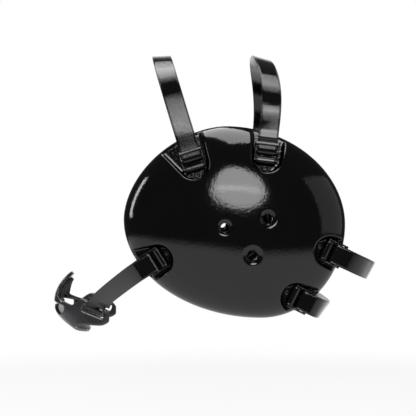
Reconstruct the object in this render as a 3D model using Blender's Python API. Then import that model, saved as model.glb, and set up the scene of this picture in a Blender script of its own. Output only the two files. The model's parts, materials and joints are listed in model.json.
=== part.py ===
# Wrestling headgear: two domed ear guards with foam pads, four head straps, a chin strap pair
# and a chin cup. The face looks along -Y, the wearer's left is +X and up is +Z. The origin is
# the middle of the head space between the two guards.

import math

import bmesh
import bpy
from mathutils import Matrix, Vector

# Driving sizes, in metres.

# Ear guard outline, seen square on.
GUARD_LENGTH = 0.168
GUARD_HEIGHT = 0.1455

# Stack from the head outwards.
HEAD_HALF_WIDTH = 0.070
PAD_THICK = 0.0090
GUARD_DEPTH = 0.030
GUARD_WALL = 0.0060
POCKET_FLOOR = 0.0065

# Ear opening: the hollow in the guard and the wider hole in the pad.
EAR_HALF_LENGTH = 0.033
EAR_HALF_HEIGHT = 0.037
PAD_OPENING_EXTRA = 0.0030
PAD_INSET = 0.0020

# Strap pockets and vent holes.
POCKET_RADIUS = 0.0117
VENT_RADIUS = 0.0040
VENT_DISH_RADIUS = 0.0066
VENT_DISH_DEPTH = 0.0030

# Coated webbing.
STRAP_WIDTH = 0.015
STRAP_THICK = 0.0013
FRONT_CROWN_REACH = 0.0935
FRONT_CROWN_DRIFT = -0.0005
REAR_CROWN_REACH = 0.0820
REAR_CROWN_DRIFT = 0.0118
REAR_CROWN_BULGE = 0.0011
BULGE_RUN = 0.0020
UPPER_REAR_REACH = 0.0422
UPPER_REAR_DRIFT = 0.0007
LOWER_REAR_REACH = 0.0283
LOWER_REAR_DRIFT = 0.0010

# Ladder-lock buckle: three bars between two side rails.
BAR_WIDTH = 0.0024
BUCKLE_THICK = 0.0022
TAB_WINDOW = 0.0050
STRAP_WINDOW = 0.0032
RAIL_WIDTH = 0.0014
BUCKLE_EDGE = 0.0004
BASE_BAR_BACK = 0.0026

# Rivet and the webbing tab that swivels on it.
RIVET_BACK = 0.0082
RIVET_HEAD_RADIUS = 0.0022
RIVET_HEAD_HEIGHT = 0.0015
RIVET_SHANK_RADIUS = 0.0014
RIVET_FOOT_RADIUS = 0.0045
RIVET_FOOT_HEIGHT = 0.0010
TAB_END_WIDTH = 0.0050
TAB_END_BACK = 0.0028

# Tails of webbing left after the fold round the middle bar.
SHORT_TAIL = 0.0021
HIDDEN_TAIL = 0.0075
REAR_TAIL = 0.0095

# Chin cup.
CUP_HALF_WIDTH = 0.038
CUP_FRONT = 0.1435
CUP_LEVEL = 0.0655
CUP_HALF_HEIGHT = 0.0235
CUP_TAB_HALF_HEIGHT = 0.0068
CUP_WALL = 0.0030
CUP_TOP_CURL = 0.0130
CUP_BOTTOM_CURL = 0.0270
CUP_GAP_HALF_WIDTH = 0.036
CUP_GAP_HALF_HEIGHT = 0.0017
CUP_GAP_LEVEL = 0.0657
CUP_LINER_THICK = 0.0030
CUP_TONGUE_HALF_WIDTH = 0.026
CUP_SLOT_FORWARD = 0.1096
CUP_SLOT_LEVEL = 0.0690
CUP_SLOT_SIDE_GAP = 0.0016
CUP_BEND_FROM_SLOT = 0.0084
CUP_END_FROM_SLOT = 0.0116
CUP_SLOT_HEIGHT = 0.0048
CUP_TAIL = 0.0065
CUP_LAP = 0.0030
CHIN_LEAD = 0.006
CHIN_ARRIVE = 0.006

# Clearances.
FIT_GAP = 0.0003
LOOP_GAP = 0.00035
HOLE_GAP = 0.0004
STRAP_SIDE_GAP = 0.0003
MOUTH_MARGIN = 0.0030
CUT_OVERRUN = 0.010

# Outline of a guard, quarter by quarter: where its crest, tail, foot and nose sit as shares of
# the half length or half height, and how full each quarter is.
crest_along_share = -0.071
foot_along_share = 0.238
nose_up_share = 0.027
tail_up_share = -0.022
quarter_fullness_shares = {"tail_crest": 1.95, "crest_nose": 1.8, "nose_foot": 1.98, "foot_tail": 2.0}

# Dome section: how flat its top is and how round its rim.
dome_flat_share = 2.2
dome_round_share = 0.54

# Pockets: centre of the round end as shares of half length and half height, the way the strap
# leaves in degrees from straight back, turning up, how far each side wall flares in degrees, and
# how far to one side the strap and its buckle sit, as a share of the pocket's radius.
pocket_shares = {
    "front_crown": (-0.365, 0.595, 107.0, 27.0, 3.0, 0.0),
    "rear_crown": (0.286, 0.667, 83.0, 6.0, 3.0, 0.043),
    "chin": (-0.686, -0.389, 212.0, 2.0, 19.0, -0.05),
    "upper_rear": (0.845, -0.307, -25.5, 10.0, 0.0, 0.043),
    "lower_rear": (0.548, -0.784, -26.5, 6.0, 9.0, 0.05),
}

# Head straps: reach and drift at the middle of the arch, roll there in degrees, how far the strap
# leans in over the pad as a share, the bulge between buckle and rim, whether the pulling leg lies
# over the buckle, and the tail left after the fold.
head_strap_shares = (
    ("front_crown", FRONT_CROWN_REACH, FRONT_CROWN_DRIFT, -15.0, 0.07, 0.0, False, SHORT_TAIL),
    ("rear_crown", REAR_CROWN_REACH, REAR_CROWN_DRIFT, -9.0, 0.0, REAR_CROWN_BULGE, False, SHORT_TAIL),
    ("upper_rear", UPPER_REAR_REACH, UPPER_REAR_DRIFT, -3.6, 0.0, 0.0, False, REAR_TAIL),
    ("lower_rear", LOWER_REAR_REACH, LOWER_REAR_DRIFT, -16.5, 0.0, 0.0, True, HIDDEN_TAIL),
)

# Vent holes: place as shares of half length and half height, and size share.
vent_shares = ((-0.088, -0.052, 0.86), (0.288, 0.038, 1.0), (0.155, -0.337, 1.04))

# Ear pad section from its outer edge to the opening: across share, and share of the thickness.
pad_section_shares = (
    (0.03, 0.0), (0.0, 0.30), (0.02, 0.66), (0.08, 0.90), (0.20, 1.0),
    (0.80, 1.0), (0.92, 0.90), (0.98, 0.66), (1.0, 0.30), (0.97, 0.0),
)

# Rings of the guard's dome and of the ear hollow inside it, from the edge to the crown.
dome_ring_shares = (0.997, 0.985, 0.96, 0.92, 0.86, 0.77, 0.66, 0.53, 0.39, 0.25, 0.12)
hollow_ring_shares = (0.985, 0.92, 0.8, 0.62, 0.4, 0.2)
rivet_crown_share = 0.55

# Arch of a head strap: less than one makes it fuller than an ellipse.
arch_fullness_share = 0.80

# Chin cup: where its front bend ends, how blunt the bend is, how square the tongue's shoulders
# are, how late the rims curl in, where the round end of a side tab starts and how far it closes;
# how deep the upper arm dips before the tab, where along the run and over how much of it; how the
# sling under the chin falls away, and how the gap falls to the rear and deepens at its sides.
cup_bend_share = 0.66
cup_blunt_share = 0.67
tongue_square_share = 2.0
curl_late_share = 2.2
tab_round_start_share = 0.86
tab_round_close_share = 0.8
arm_dip_share = 0.85
arm_dip_run_share = 0.57
arm_dip_fore_share = 0.36
arm_dip_rear_share = 0.09
sling_fall_share = 1.3
gap_fall_share = 0.19
gap_deep_share = 9.0
liner_low_share = 0.26
liner_high_share = 0.90
liner_run_share = 6 / 18

CUP_SLOT_TILT = 22.0

# Counts.
GUARD_STEPS = 64
PAD_STEPS = 56
POCKET_STEPS = 18
VENT_STEPS = 20
RIVET_STEPS = 14
TURN_STEPS = 6
ARCH_STEPS = 12
CUP_RUN_STEPS = 18
CUP_HEIGHT_STEPS = 5
LINER_HEIGHT_STEPS = 4
CUP_GAP_STEPS = 24
SEARCH_STEPS = 40

shell_colour = (0.010, 0.010, 0.011)
strap_colour = (0.035, 0.035, 0.038)
buckle_colour = (0.012, 0.012, 0.012)
pad_colour = (0.020, 0.020, 0.021)
rivet_colour = (0.060, 0.060, 0.062)

half_length = GUARD_LENGTH / 2
half_height = GUARD_HEIGHT / 2
pad_back = HEAD_HALF_WIDTH + PAD_THICK
guard_back = pad_back + FIT_GAP
floor_level = guard_back + POCKET_FLOOR
loop_radius = BUCKLE_THICK / 2 + LOOP_GAP + STRAP_THICK / 2
low_leg = floor_level + FIT_GAP + STRAP_THICK / 2
buckle_level = low_leg + loop_radius
high_leg = buckle_level + loop_radius
loop_shift = LOOP_GAP + STRAP_THICK / 10
base_bar = -BASE_BAR_BACK
middle_bar = base_bar + BAR_WIDTH + TAB_WINDOW
front_bar = middle_bar + BAR_WIDTH + STRAP_WINDOW
slot_half_length = STRAP_WIDTH / 2 + CUP_SLOT_SIDE_GAP
cup_side_start = CUP_SLOT_FORWARD + CUP_BEND_FROM_SLOT
cup_side_end = CUP_SLOT_FORWARD - CUP_END_FROM_SLOT


def clear_scene():
    for item in list(bpy.data.objects):
        bpy.data.objects.remove(item, do_unlink=True)


def make_material(name, colour, roughness, metallic):
    material = bpy.data.materials.new(name)
    material.use_nodes = True
    shader = material.node_tree.nodes["Principled BSDF"]
    shader.inputs["Base Color"].default_value = (*colour, 1.0)
    shader.inputs["Roughness"].default_value = roughness
    shader.inputs["Metallic"].default_value = metallic
    return material


def make_pivot(name, place):
    pivot = bpy.data.objects.new(name, None)
    pivot.location = place
    bpy.context.collection.objects.link(pivot)
    return pivot


def add_piece(name, bm, pivot, colour, roughness, metallic=0.0, sharp=40.0):
    # The mesh is made in world places and moved so that its origin lies on the pivot.
    bmesh.ops.translate(bm, verts=bm.verts, vec=-Vector(pivot.location))
    mesh = bpy.data.meshes.new(name)
    bm.to_mesh(mesh)
    bm.free()
    mesh.shade_smooth()
    mesh.set_sharp_from_angle(angle=math.radians(sharp))
    mesh.materials.append(make_material(name + "_finish", colour, roughness, metallic))
    piece = bpy.data.objects.new(name, mesh)
    bpy.context.collection.objects.link(piece)
    piece.parent = pivot
    return piece


def mirrored(bm):
    twin = bm.copy()
    bmesh.ops.scale(twin, verts=twin.verts, vec=(-1.0, 1.0, 1.0))
    bmesh.ops.reverse_faces(twin, faces=twin.faces)
    return twin


def both_sides(name, bm, pivot, colour, roughness, metallic=0.0, sharp=40.0):
    twin = mirrored(bm)
    add_piece("left_" + name, bm, pivot, colour, roughness, metallic, sharp)
    add_piece("right_" + name, twin, pivot, colour, roughness, metallic, sharp)


def temporary(bm):
    mesh = bpy.data.meshes.new("temporary")
    bm.to_mesh(mesh)
    item = bpy.data.objects.new("temporary", mesh)
    bpy.context.collection.objects.link(item)
    return item


def evaluated(item):
    graph = bpy.context.evaluated_depsgraph_get()
    bm = bmesh.new()
    bm.from_object(item, graph)
    return bm


def cut(bm, cutters):
    # Takes each cutter out of the solid, one Boolean after the other.
    body = temporary(bm)
    bm.free()
    tools = [temporary(cutter) for cutter in cutters]
    for tool in tools:
        tool.hide_render = True
        tool.display_type = "WIRE"
        step = body.modifiers.new("cut", "BOOLEAN")
        step.operation = "DIFFERENCE"
        step.solver = "EXACT"
        step.object = tool
    result = evaluated(body)
    for item in [body, *tools]:
        bpy.data.objects.remove(item, do_unlink=True)
    for cutter in cutters:
        cutter.free()
    return result


def outline_point(turn):
    # Turn runs once round the guard, in radians from the tail through the crest to the nose.
    reach = Vector((math.cos(turn), math.sin(turn)))
    crest = crest_along_share * half_length
    foot = foot_along_share * half_length
    nose = nose_up_share * half_height
    tail = tail_up_share * half_height
    up = reach.y >= 0
    back = reach.x >= 0
    along_middle = crest if up else foot
    up_middle = tail if back else nose
    quarters = {(True, True): "tail_crest", (False, True): "crest_nose",
                (False, False): "nose_foot", (True, False): "foot_tail"}
    fullness = quarter_fullness_shares[quarters[(back, up)]]
    along = math.copysign(abs(reach.x) ** (2 / fullness), reach.x)
    rise = math.copysign(abs(reach.y) ** (2 / fullness), reach.y)
    along_reach = half_length - along_middle if back else half_length + along_middle
    up_reach = half_height - up_middle if up else half_height + up_middle
    return Vector((0, along_middle + along * along_reach, up_middle + rise * up_reach))


def share_at(along, up):
    # Share of the way from the guard's centre to its outline at this place.
    size = math.hypot(along, up)
    if size == 0:
        return 0.0
    low, high = -math.pi, math.pi
    aim = math.atan2(up, along)
    for _ in range(SEARCH_STEPS):
        middle = (low + high) / 2
        edge = outline_point(middle)
        if math.atan2(edge.z, edge.y) < aim:
            low = middle
        else:
            high = middle
    return size / outline_point((low + high) / 2).length


def dome_rise(share):
    return GUARD_DEPTH * max(0.0, 1 - share ** dome_flat_share) ** dome_round_share


def bridge_rings(bm, rings):
    for one, two in zip(rings, rings[1:]):
        count = len(one)
        for step in range(count):
            after = (step + 1) % count
            bm.faces.new((one[step], one[after], two[after], two[step]))


def dome_solid(points_at, depth_at, low, shares):
    # A closed dome on a flat base: rings shrink from the edge to one crown point.
    bm = bmesh.new()
    rings = [[bm.verts.new(Vector((low, 0, 0)) + point) for point in points_at(1.0)]]
    for share in shares:
        lift = Vector((low + depth_at(share), 0, 0))
        rings.append([bm.verts.new(lift + point) for point in points_at(share)])
    bridge_rings(bm, rings)
    crown = bm.verts.new(Vector((low + depth_at(0.0), 0, 0)))
    last = rings[-1]
    for step, corner in enumerate(last):
        bm.faces.new((corner, last[(step + 1) % len(last)], crown))
    bm.faces.new(rings[0][::-1])
    bmesh.ops.recalc_face_normals(bm, faces=bm.faces)
    return bm


def turned(profile, steps, centre):
    # A profile of (radius, height) turned round an axis along X, closed at both ends.
    bm = bmesh.new()
    rings = []
    for radius, height in profile:
        ring = []
        for step in range(steps):
            turn = step / steps * math.tau
            spot = Vector((height, radius * math.cos(turn), radius * math.sin(turn)))
            ring.append(bm.verts.new(centre + spot))
        rings.append(ring)
    bridge_rings(bm, rings)
    bm.faces.new(rings[0][::-1])
    bm.faces.new(rings[-1])
    bmesh.ops.recalc_face_normals(bm, faces=bm.faces)
    return bm


def ribbon(path, sides, widths, thick):
    # A closed band: a flat rectangle carried along the path, its width along each side vector.
    bm = bmesh.new()
    rings = []
    for index, point in enumerate(path):
        ahead = path[min(index + 1, len(path) - 1)]
        behind = path[max(index - 1, 0)]
        run = (ahead - behind).normalized()
        side = sides[index] - sides[index].dot(run) * run
        half_side = side.normalized() * widths[index] / 2
        half_face = run.cross(side).normalized() * thick / 2
        corners = (point - half_side - half_face, point + half_side - half_face,
                   point + half_side + half_face, point - half_side + half_face)
        rings.append([bm.verts.new(corner) for corner in corners])
    bridge_rings(bm, rings)
    bm.faces.new(rings[0][::-1])
    bm.faces.new(rings[-1])
    bmesh.ops.recalc_face_normals(bm, faces=bm.faces)
    return bm


class Pocket:
    # One strap pocket on the left guard, with its own along and across directions.
    def __init__(self, name):
        along, up, angle, flare_a, flare_b, seat = pocket_shares[name]
        self.centre = Vector((0, along * half_length, up * half_height))
        self.out = Vector((0, math.cos(math.radians(angle)), math.sin(math.radians(angle))))
        self.across = Vector((1, 0, 0)).cross(self.out)
        self.flares = (math.radians(flare_a), math.radians(flare_b))
        self.seat = seat * POCKET_RADIUS

    def at(self, rise, along, side=0.0):
        return Vector((rise, 0, 0)) + self.centre + self.out * along + self.across * side

    def fit(self, rise, along, side=0.0):
        # The same for the strap and its fittings, which sit a little to one side.
        return self.at(rise, along, self.seat + side)

    def rivet(self):
        return self.fit(0, -RIVET_BACK)

    def mouth(self):
        # How far out along the strap the guard's outline lies.
        low, high = 0.0, GUARD_LENGTH
        for _ in range(SEARCH_STEPS):
            middle = (low + high) / 2
            spot = self.fit(0, middle)
            if share_at(spot.y, spot.z) < 1:
                low = middle
            else:
                high = middle
        return high

    def matrix(self, rise):
        # Local x stays outwards, local y runs out along the strap, local z across it.
        frame = Matrix((Vector((1, 0, 0)), self.out, self.across)).transposed().to_4x4()
        return Matrix.Translation(self.fit(rise, 0)) @ frame


pockets = {name: Pocket(name) for name in pocket_shares}


def pocket_cutter(pocket):
    # Round inner end, then two side walls that flare to beyond the outline.
    first, second = pocket.flares
    start = math.pi / 2 + first
    finish = math.pi * 3 / 2 - second
    reach = pocket.mouth() + 2 * POCKET_RADIUS
    outline = [(reach, POCKET_RADIUS / math.cos(first) + reach * math.tan(first))]
    for step in range(POCKET_STEPS + 1):
        turn = start + (finish - start) * step / POCKET_STEPS
        outline.append((POCKET_RADIUS * math.cos(turn), POCKET_RADIUS * math.sin(turn)))
    outline.append((reach, -POCKET_RADIUS / math.cos(second) - reach * math.tan(second)))
    bm = bmesh.new()
    base = [bm.verts.new(pocket.at(floor_level, along, side)) for along, side in outline]
    face = bm.faces.new(base)
    grown = bmesh.ops.extrude_face_region(bm, geom=[face])["geom"]
    tops = [item for item in grown if isinstance(item, bmesh.types.BMVert)]
    bmesh.ops.translate(bm, verts=tops, vec=(GUARD_DEPTH + CUT_OVERRUN, 0, 0))
    bmesh.ops.recalc_face_normals(bm, faces=bm.faces)
    return bm


def vent_cutter(along_share, up_share, size_share):
    along, up = along_share * half_length, up_share * half_height
    surface = guard_back + dome_rise(share_at(along, up))
    hole = VENT_RADIUS * size_share
    dish = VENT_DISH_RADIUS * size_share
    profile = ((hole, guard_back - CUT_OVERRUN), (hole, surface - VENT_DISH_DEPTH),
               (dish, surface), (dish + VENT_DISH_DEPTH, surface + VENT_DISH_DEPTH))
    return turned(profile, VENT_STEPS, Vector((0, along, up)))


def rivet_hole_cutter(pocket):
    foot = RIVET_FOOT_RADIUS + HOLE_GAP
    shank = RIVET_SHANK_RADIUS + HOLE_GAP
    seat = guard_back + FIT_GAP + RIVET_FOOT_HEIGHT + FIT_GAP
    profile = ((foot, guard_back - CUT_OVERRUN), (foot, seat), (shank, seat),
               (shank, floor_level + STRAP_THICK + CUT_OVERRUN))
    return turned(profile, RIVET_STEPS, pocket.rivet())


def make_guards(pivot):
    turns = [step / GUARD_STEPS * math.tau for step in range(GUARD_STEPS)]
    edge = [outline_point(turn) for turn in turns]
    outer = dome_solid(lambda share: [point * share for point in edge], dome_rise, guard_back,
                       dome_ring_shares)
    ear = [Vector((0, EAR_HALF_LENGTH * math.cos(turn), EAR_HALF_HEIGHT * math.sin(turn)))
           for turn in turns[::2]]
    hollow_depth = (GUARD_DEPTH - GUARD_WALL) / GUARD_DEPTH
    hollow = dome_solid(lambda share: [point * share for point in ear],
                        lambda share: CUT_OVERRUN + dome_rise(share) * hollow_depth,
                        guard_back - CUT_OVERRUN, hollow_ring_shares)
    cutters = [hollow]
    cutters += [pocket_cutter(pocket) for pocket in pockets.values()]
    cutters += [vent_cutter(*vent) for vent in vent_shares]
    cutters += [rivet_hole_cutter(pocket) for pocket in pockets.values()]
    shell = cut(outer, cutters)
    both_sides("guard_shell", shell, pivot, shell_colour, 0.12)


def make_ear_pads(pivot):
    # A pressed foam ring: flat where it meets the head and the guard, round at its edges.
    inner_length = EAR_HALF_LENGTH + PAD_OPENING_EXTRA
    inner_height = EAR_HALF_HEIGHT + PAD_OPENING_EXTRA
    inset_share = 1 - PAD_INSET / half_height
    bm = bmesh.new()
    rings = []
    for across_share, thick_share in pad_section_shares:
        ring = []
        for step in range(PAD_STEPS):
            turn = step / PAD_STEPS * math.tau
            outer = outline_point(turn) * inset_share
            aim = math.atan2(outer.z, outer.y)
            size = 1 / math.hypot(math.cos(aim) / inner_length, math.sin(aim) / inner_height)
            inner = Vector((0, size * math.cos(aim), size * math.sin(aim)))
            spot = outer.lerp(inner, across_share)
            ring.append(bm.verts.new(Vector((pad_back - thick_share * PAD_THICK, 0, 0)) + spot))
        rings.append(ring)
    rings.append(rings[0])
    bridge_rings(bm, rings)
    bmesh.ops.recalc_face_normals(bm, faces=bm.faces)
    both_sides("ear_pad", bm, pivot, pad_colour, 0.6)


def make_rivets(pivot):
    low = guard_back + FIT_GAP
    high = floor_level + FIT_GAP + STRAP_THICK + FIT_GAP
    profile = (
        (RIVET_FOOT_RADIUS, low), (RIVET_FOOT_RADIUS, low + RIVET_FOOT_HEIGHT),
        (RIVET_SHANK_RADIUS, low + RIVET_FOOT_HEIGHT), (RIVET_SHANK_RADIUS, high),
        (RIVET_HEAD_RADIUS, high), (RIVET_HEAD_RADIUS, high + RIVET_HEAD_HEIGHT / 2),
        (RIVET_HEAD_RADIUS * rivet_crown_share, high + RIVET_HEAD_HEIGHT),
    )
    for name, pocket in pockets.items():
        rivet = turned(profile, RIVET_STEPS, pocket.rivet())
        both_sides(name + "_rivet", rivet, pivot, rivet_colour, 0.35)


def loop_turn(pocket, bar, towards):
    # Half turn round a bar, from the low leg to the high leg, bulging along `towards`.
    middle = bar + towards * loop_shift
    spots = []
    for step in range(TURN_STEPS + 1):
        turn = -math.pi / 2 + math.pi * step / TURN_STEPS
        along = middle + towards * loop_radius * math.cos(turn)
        spots.append(pocket.fit(buckle_level + loop_radius * math.sin(turn), along))
    return spots


def make_tab(name, pivot):
    # Webbing that lies on the pocket floor under the rivet, folds round the base bar and is
    # turned down again on itself.
    pocket = pockets[name]
    end = -RIVET_BACK - TAB_END_BACK
    waist = -RIVET_BACK + RIVET_HEAD_RADIUS
    fold_end = base_bar - BAR_WIDTH / 2 - LOOP_GAP
    path = [pocket.fit(low_leg, end), pocket.fit(low_leg, -RIVET_BACK), pocket.fit(low_leg, waist)]
    widths = [TAB_END_WIDTH, (TAB_END_WIDTH + STRAP_WIDTH) / 2, STRAP_WIDTH]
    turn = loop_turn(pocket, base_bar, 1)
    path += turn
    path.append(pocket.fit(high_leg, fold_end))
    path.append(pocket.fit(low_leg + STRAP_THICK + loop_radius / 2, fold_end - STRAP_THICK))
    widths += [STRAP_WIDTH] * (len(path) - len(widths))
    band = ribbon(path, [pocket.across] * len(path), widths, STRAP_THICK)
    shank = RIVET_SHANK_RADIUS + HOLE_GAP
    hole = turned(((shank, low_leg - STRAP_THICK), (shank, low_leg + STRAP_THICK)),
                  RIVET_STEPS, pocket.rivet())
    both_sides(name + "_tab", cut(band, [hole]), pivot, strap_colour, 0.3)


def make_buckle(name, pivot):
    # A flat ladder of rails and bars, given its thickness and then round edges.
    pocket = pockets[name]
    bar = BAR_WIDTH / 2
    inner = STRAP_WIDTH / 2 + STRAP_SIDE_GAP
    rows = (base_bar - bar, base_bar + bar, middle_bar - bar, middle_bar + bar,
            front_bar - bar, front_bar + bar)
    columns = (-inner - RAIL_WIDTH, -inner, inner, inner + RAIL_WIDTH)
    bm = bmesh.new()
    grid = [[bm.verts.new((0, along, side)) for side in columns] for along in rows]
    windows = ((1, 1), (3, 1))
    for row in range(len(rows) - 1):
        for column in range(len(columns) - 1):
            if (row, column) not in windows:
                bm.faces.new((grid[row][column], grid[row][column + 1],
                              grid[row + 1][column + 1], grid[row + 1][column]))
    bmesh.ops.transform(bm, matrix=pocket.matrix(buckle_level), verts=bm.verts)
    plate = temporary(bm)
    bm.free()
    wall = plate.modifiers.new("wall", "SOLIDIFY")
    wall.thickness = BUCKLE_THICK
    wall.offset = 0.0
    edge = plate.modifiers.new("edge", "BEVEL")
    edge.width = BUCKLE_EDGE
    edge.segments = 1
    edge.limit_method = "ANGLE"
    solid = evaluated(plate)
    bpy.data.objects.remove(plate, do_unlink=True)
    both_sides(name + "_buckle", solid, pivot, buckle_colour, 0.35)


def strap_end(pocket, over, tail, bulge):
    # From the tail's end, round the middle bar, to the pocket's mouth. Over puts the pulling
    # leg on the outside of the buckle; otherwise it runs under the front bar.
    turn = loop_turn(pocket, middle_bar, -1)
    tail_level, pull_level = (low_leg, high_leg) if over else (high_leg, low_leg)
    if not over:
        turn = turn[::-1]
    path = [pocket.fit(tail_level, middle_bar + tail)] + turn
    if bulge > 0:
        foot = front_bar + BAR_WIDTH
        path.append(pocket.fit(pull_level, foot))
        path.append(pocket.fit(pull_level + bulge, foot + BULGE_RUN))
    path.append(pocket.fit(pull_level, pocket.mouth() + MOUTH_MARGIN))
    return path, pull_level


def make_head_strap(name, pivot, reach, drift, roll, lean, bulge, over, tail):
    # Up one side, over or behind the head in an oval arch, and down the other side alike.
    pocket = pockets[name]
    path, level = strap_end(pocket, over, tail, bulge)
    start = pocket.mouth() + MOUTH_MARGIN
    half = list(path)
    half_sides = [pocket.across] * len(path)
    for step in range(1, ARCH_STEPS + 1):
        turn = step / ARCH_STEPS * math.pi / 2
        rise = math.sin(turn) ** arch_fullness_share
        out = level * (math.cos(turn) ** arch_fullness_share - lean * rise * (1 - rise))
        out = out if step < ARCH_STEPS else 0.0
        along = start + (reach - start) * rise
        settled = math.sin(turn) ** 2
        half.append(pocket.fit(out, along, drift * settled))
        half_sides.append(Matrix.Rotation(math.radians(roll) * settled, 3, "X") @ pocket.across)
    far = [Vector((-spot.x, spot.y, spot.z)) for spot in half[:-1]][::-1]
    path = half + far
    sides = half_sides + half_sides[:-1][::-1]
    band = ribbon(path, sides, [STRAP_WIDTH] * len(path), STRAP_THICK)
    add_piece(name + "_strap", band, pivot, strap_colour, 0.3)


def slot_directions():
    tilt = math.radians(CUP_SLOT_TILT)
    slot = Vector((0, math.cos(tilt), -math.sin(tilt)))
    up = Vector((0, math.sin(tilt), math.cos(tilt)))
    return slot, up


def make_chin_straps(pivot):
    # From the fold in the chin pocket, over the guard's rim and in towards the chin, then
    # through the cup's slot and up behind its upper bar.
    pocket = pockets["chin"]
    path, level = strap_end(pocket, True, HIDDEN_TAIL, 0)
    sides = [pocket.across] * len(path)
    slot, up = slot_directions()
    bar_edge = Vector((CUP_HALF_WIDTH, -CUP_SLOT_FORWARD, -CUP_SLOT_LEVEL))
    radius = CUP_WALL / 2 + LOOP_GAP + STRAP_THICK / 2
    outward = Vector((1, 0, 0))
    begin = path[-1]
    finish = bar_edge + outward * radius + up * CUP_LAP
    lead = begin + pocket.out * CHIN_LEAD
    arrive = finish + (up + (begin - finish).normalized()).normalized() * CHIN_ARRIVE
    for step in range(1, ARCH_STEPS + 1):
        share = step / ARCH_STEPS
        rest = 1 - share
        spot = (begin * rest ** 3 + lead * 3 * rest ** 2 * share
                + arrive * 3 * rest * share ** 2 + finish * share ** 3)
        path.append(spot)
        sides.append(pocket.across.lerp(slot, share))
    middle = bar_edge - up * loop_shift
    for step in range(TURN_STEPS + 1):
        turn = math.pi * step / TURN_STEPS
        path.append(middle + outward * radius * math.cos(turn) - up * radius * math.sin(turn))
        sides.append(slot)
    path.append(bar_edge - outward * radius + up * CUP_TAIL)
    sides.append(slot)
    band = ribbon(path, sides, [STRAP_WIDTH] * len(path), STRAP_THICK)
    twin = mirrored(band)
    add_piece("left_chin_strap", band, pivot, strap_colour, 0.3)
    add_piece("right_chin_strap", twin, pivot, strap_colour, 0.3)


def cup_point(run_share, height_share):
    # Run share goes from one side tab (-1) round the front (0) to the other (1); height share
    # from the bottom rim (-1) to the top rim (1). A tongue rises at the front of the chin, the
    # lower half reaches under it, and both sink to the level of the side tabs.
    size = abs(run_share)
    turn = min(size / cup_bend_share, 1.0) * math.pi / 2
    bent_part = size < cup_bend_share
    front = math.cos(turn) ** cup_blunt_share if bent_part else 0.0
    wide = CUP_HALF_WIDTH * math.sin(turn) ** cup_blunt_share
    back_share = max(0.0, size - cup_bend_share) / (1 - cup_bend_share)
    back = back_share * (cup_side_start - cup_side_end)
    plan = Vector((wide, back - cup_side_start - (CUP_FRONT - cup_side_start) * front, 0))
    inner_way = Vector((-math.sin(turn) ** 3, math.cos(turn), 0)).normalized()
    slot, up = slot_directions()
    middle = -CUP_SLOT_LEVEL - CUP_SLOT_HEIGHT / 2
    slope = slot.z / slot.y
    tab_level = middle + slope * (plan.y + CUP_SLOT_FORWARD)
    start_level = middle + slope * (CUP_SLOT_FORWARD - cup_side_start)
    level = start_level + (-CUP_LEVEL - start_level) * front if bent_part else tab_level
    extra = CUP_HALF_HEIGHT - CUP_TAB_HALF_HEIGHT
    if height_share > 0:
        shoulder = max(0.0, 1 - (wide / CUP_TONGUE_HALF_WIDTH) ** tongue_square_share)
        fore = size < arm_dip_run_share
        reach = arm_dip_fore_share if fore else arm_dip_rear_share
        dip = arm_dip_share * max(0.0, 1 - abs(size - arm_dip_run_share) / reach)
        half = CUP_TAB_HALF_HEIGHT * (1 - dip) + extra * math.sqrt(shoulder)
        curl = CUP_TOP_CURL
    else:
        half = CUP_TAB_HALF_HEIGHT + extra * (1 - size ** sling_fall_share)
        curl = CUP_BOTTOM_CURL
        inner_way = Vector((0, 1, 0))
    end = max(0.0, (size - tab_round_start_share) / (1 - tab_round_start_share))
    half *= math.sqrt(1 - tab_round_close_share * end ** 2)
    drop = half * height_share
    bent = curl * front * abs(drop / CUP_HALF_HEIGHT) ** curl_late_share
    spot = plan + inner_way * bent + Vector((0, 0, level + drop))
    spot.x = math.copysign(max(spot.x, 0.0), run_share)
    return spot


def cup_sheet(runs, heights, inward, thick):
    bm = bmesh.new()
    grid = [[bm.verts.new(cup_point(run, height)) for height in heights] for run in runs]
    for one, two in zip(grid, grid[1:]):
        for step in range(len(heights) - 1):
            bm.faces.new((one[step], two[step], two[step + 1], one[step + 1]))
    bm.normal_update()
    for vert in bm.verts:
        vert.co -= vert.normal * inward
    sheet = temporary(bm)
    bm.free()
    wall = sheet.modifiers.new("wall", "SOLIDIFY")
    wall.thickness = thick
    wall.offset = 0.0
    wall.use_even_offset = True
    solid = evaluated(sheet)
    bpy.data.objects.remove(sheet, do_unlink=True)
    bmesh.ops.recalc_face_normals(solid, faces=solid.faces)
    return solid


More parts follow.
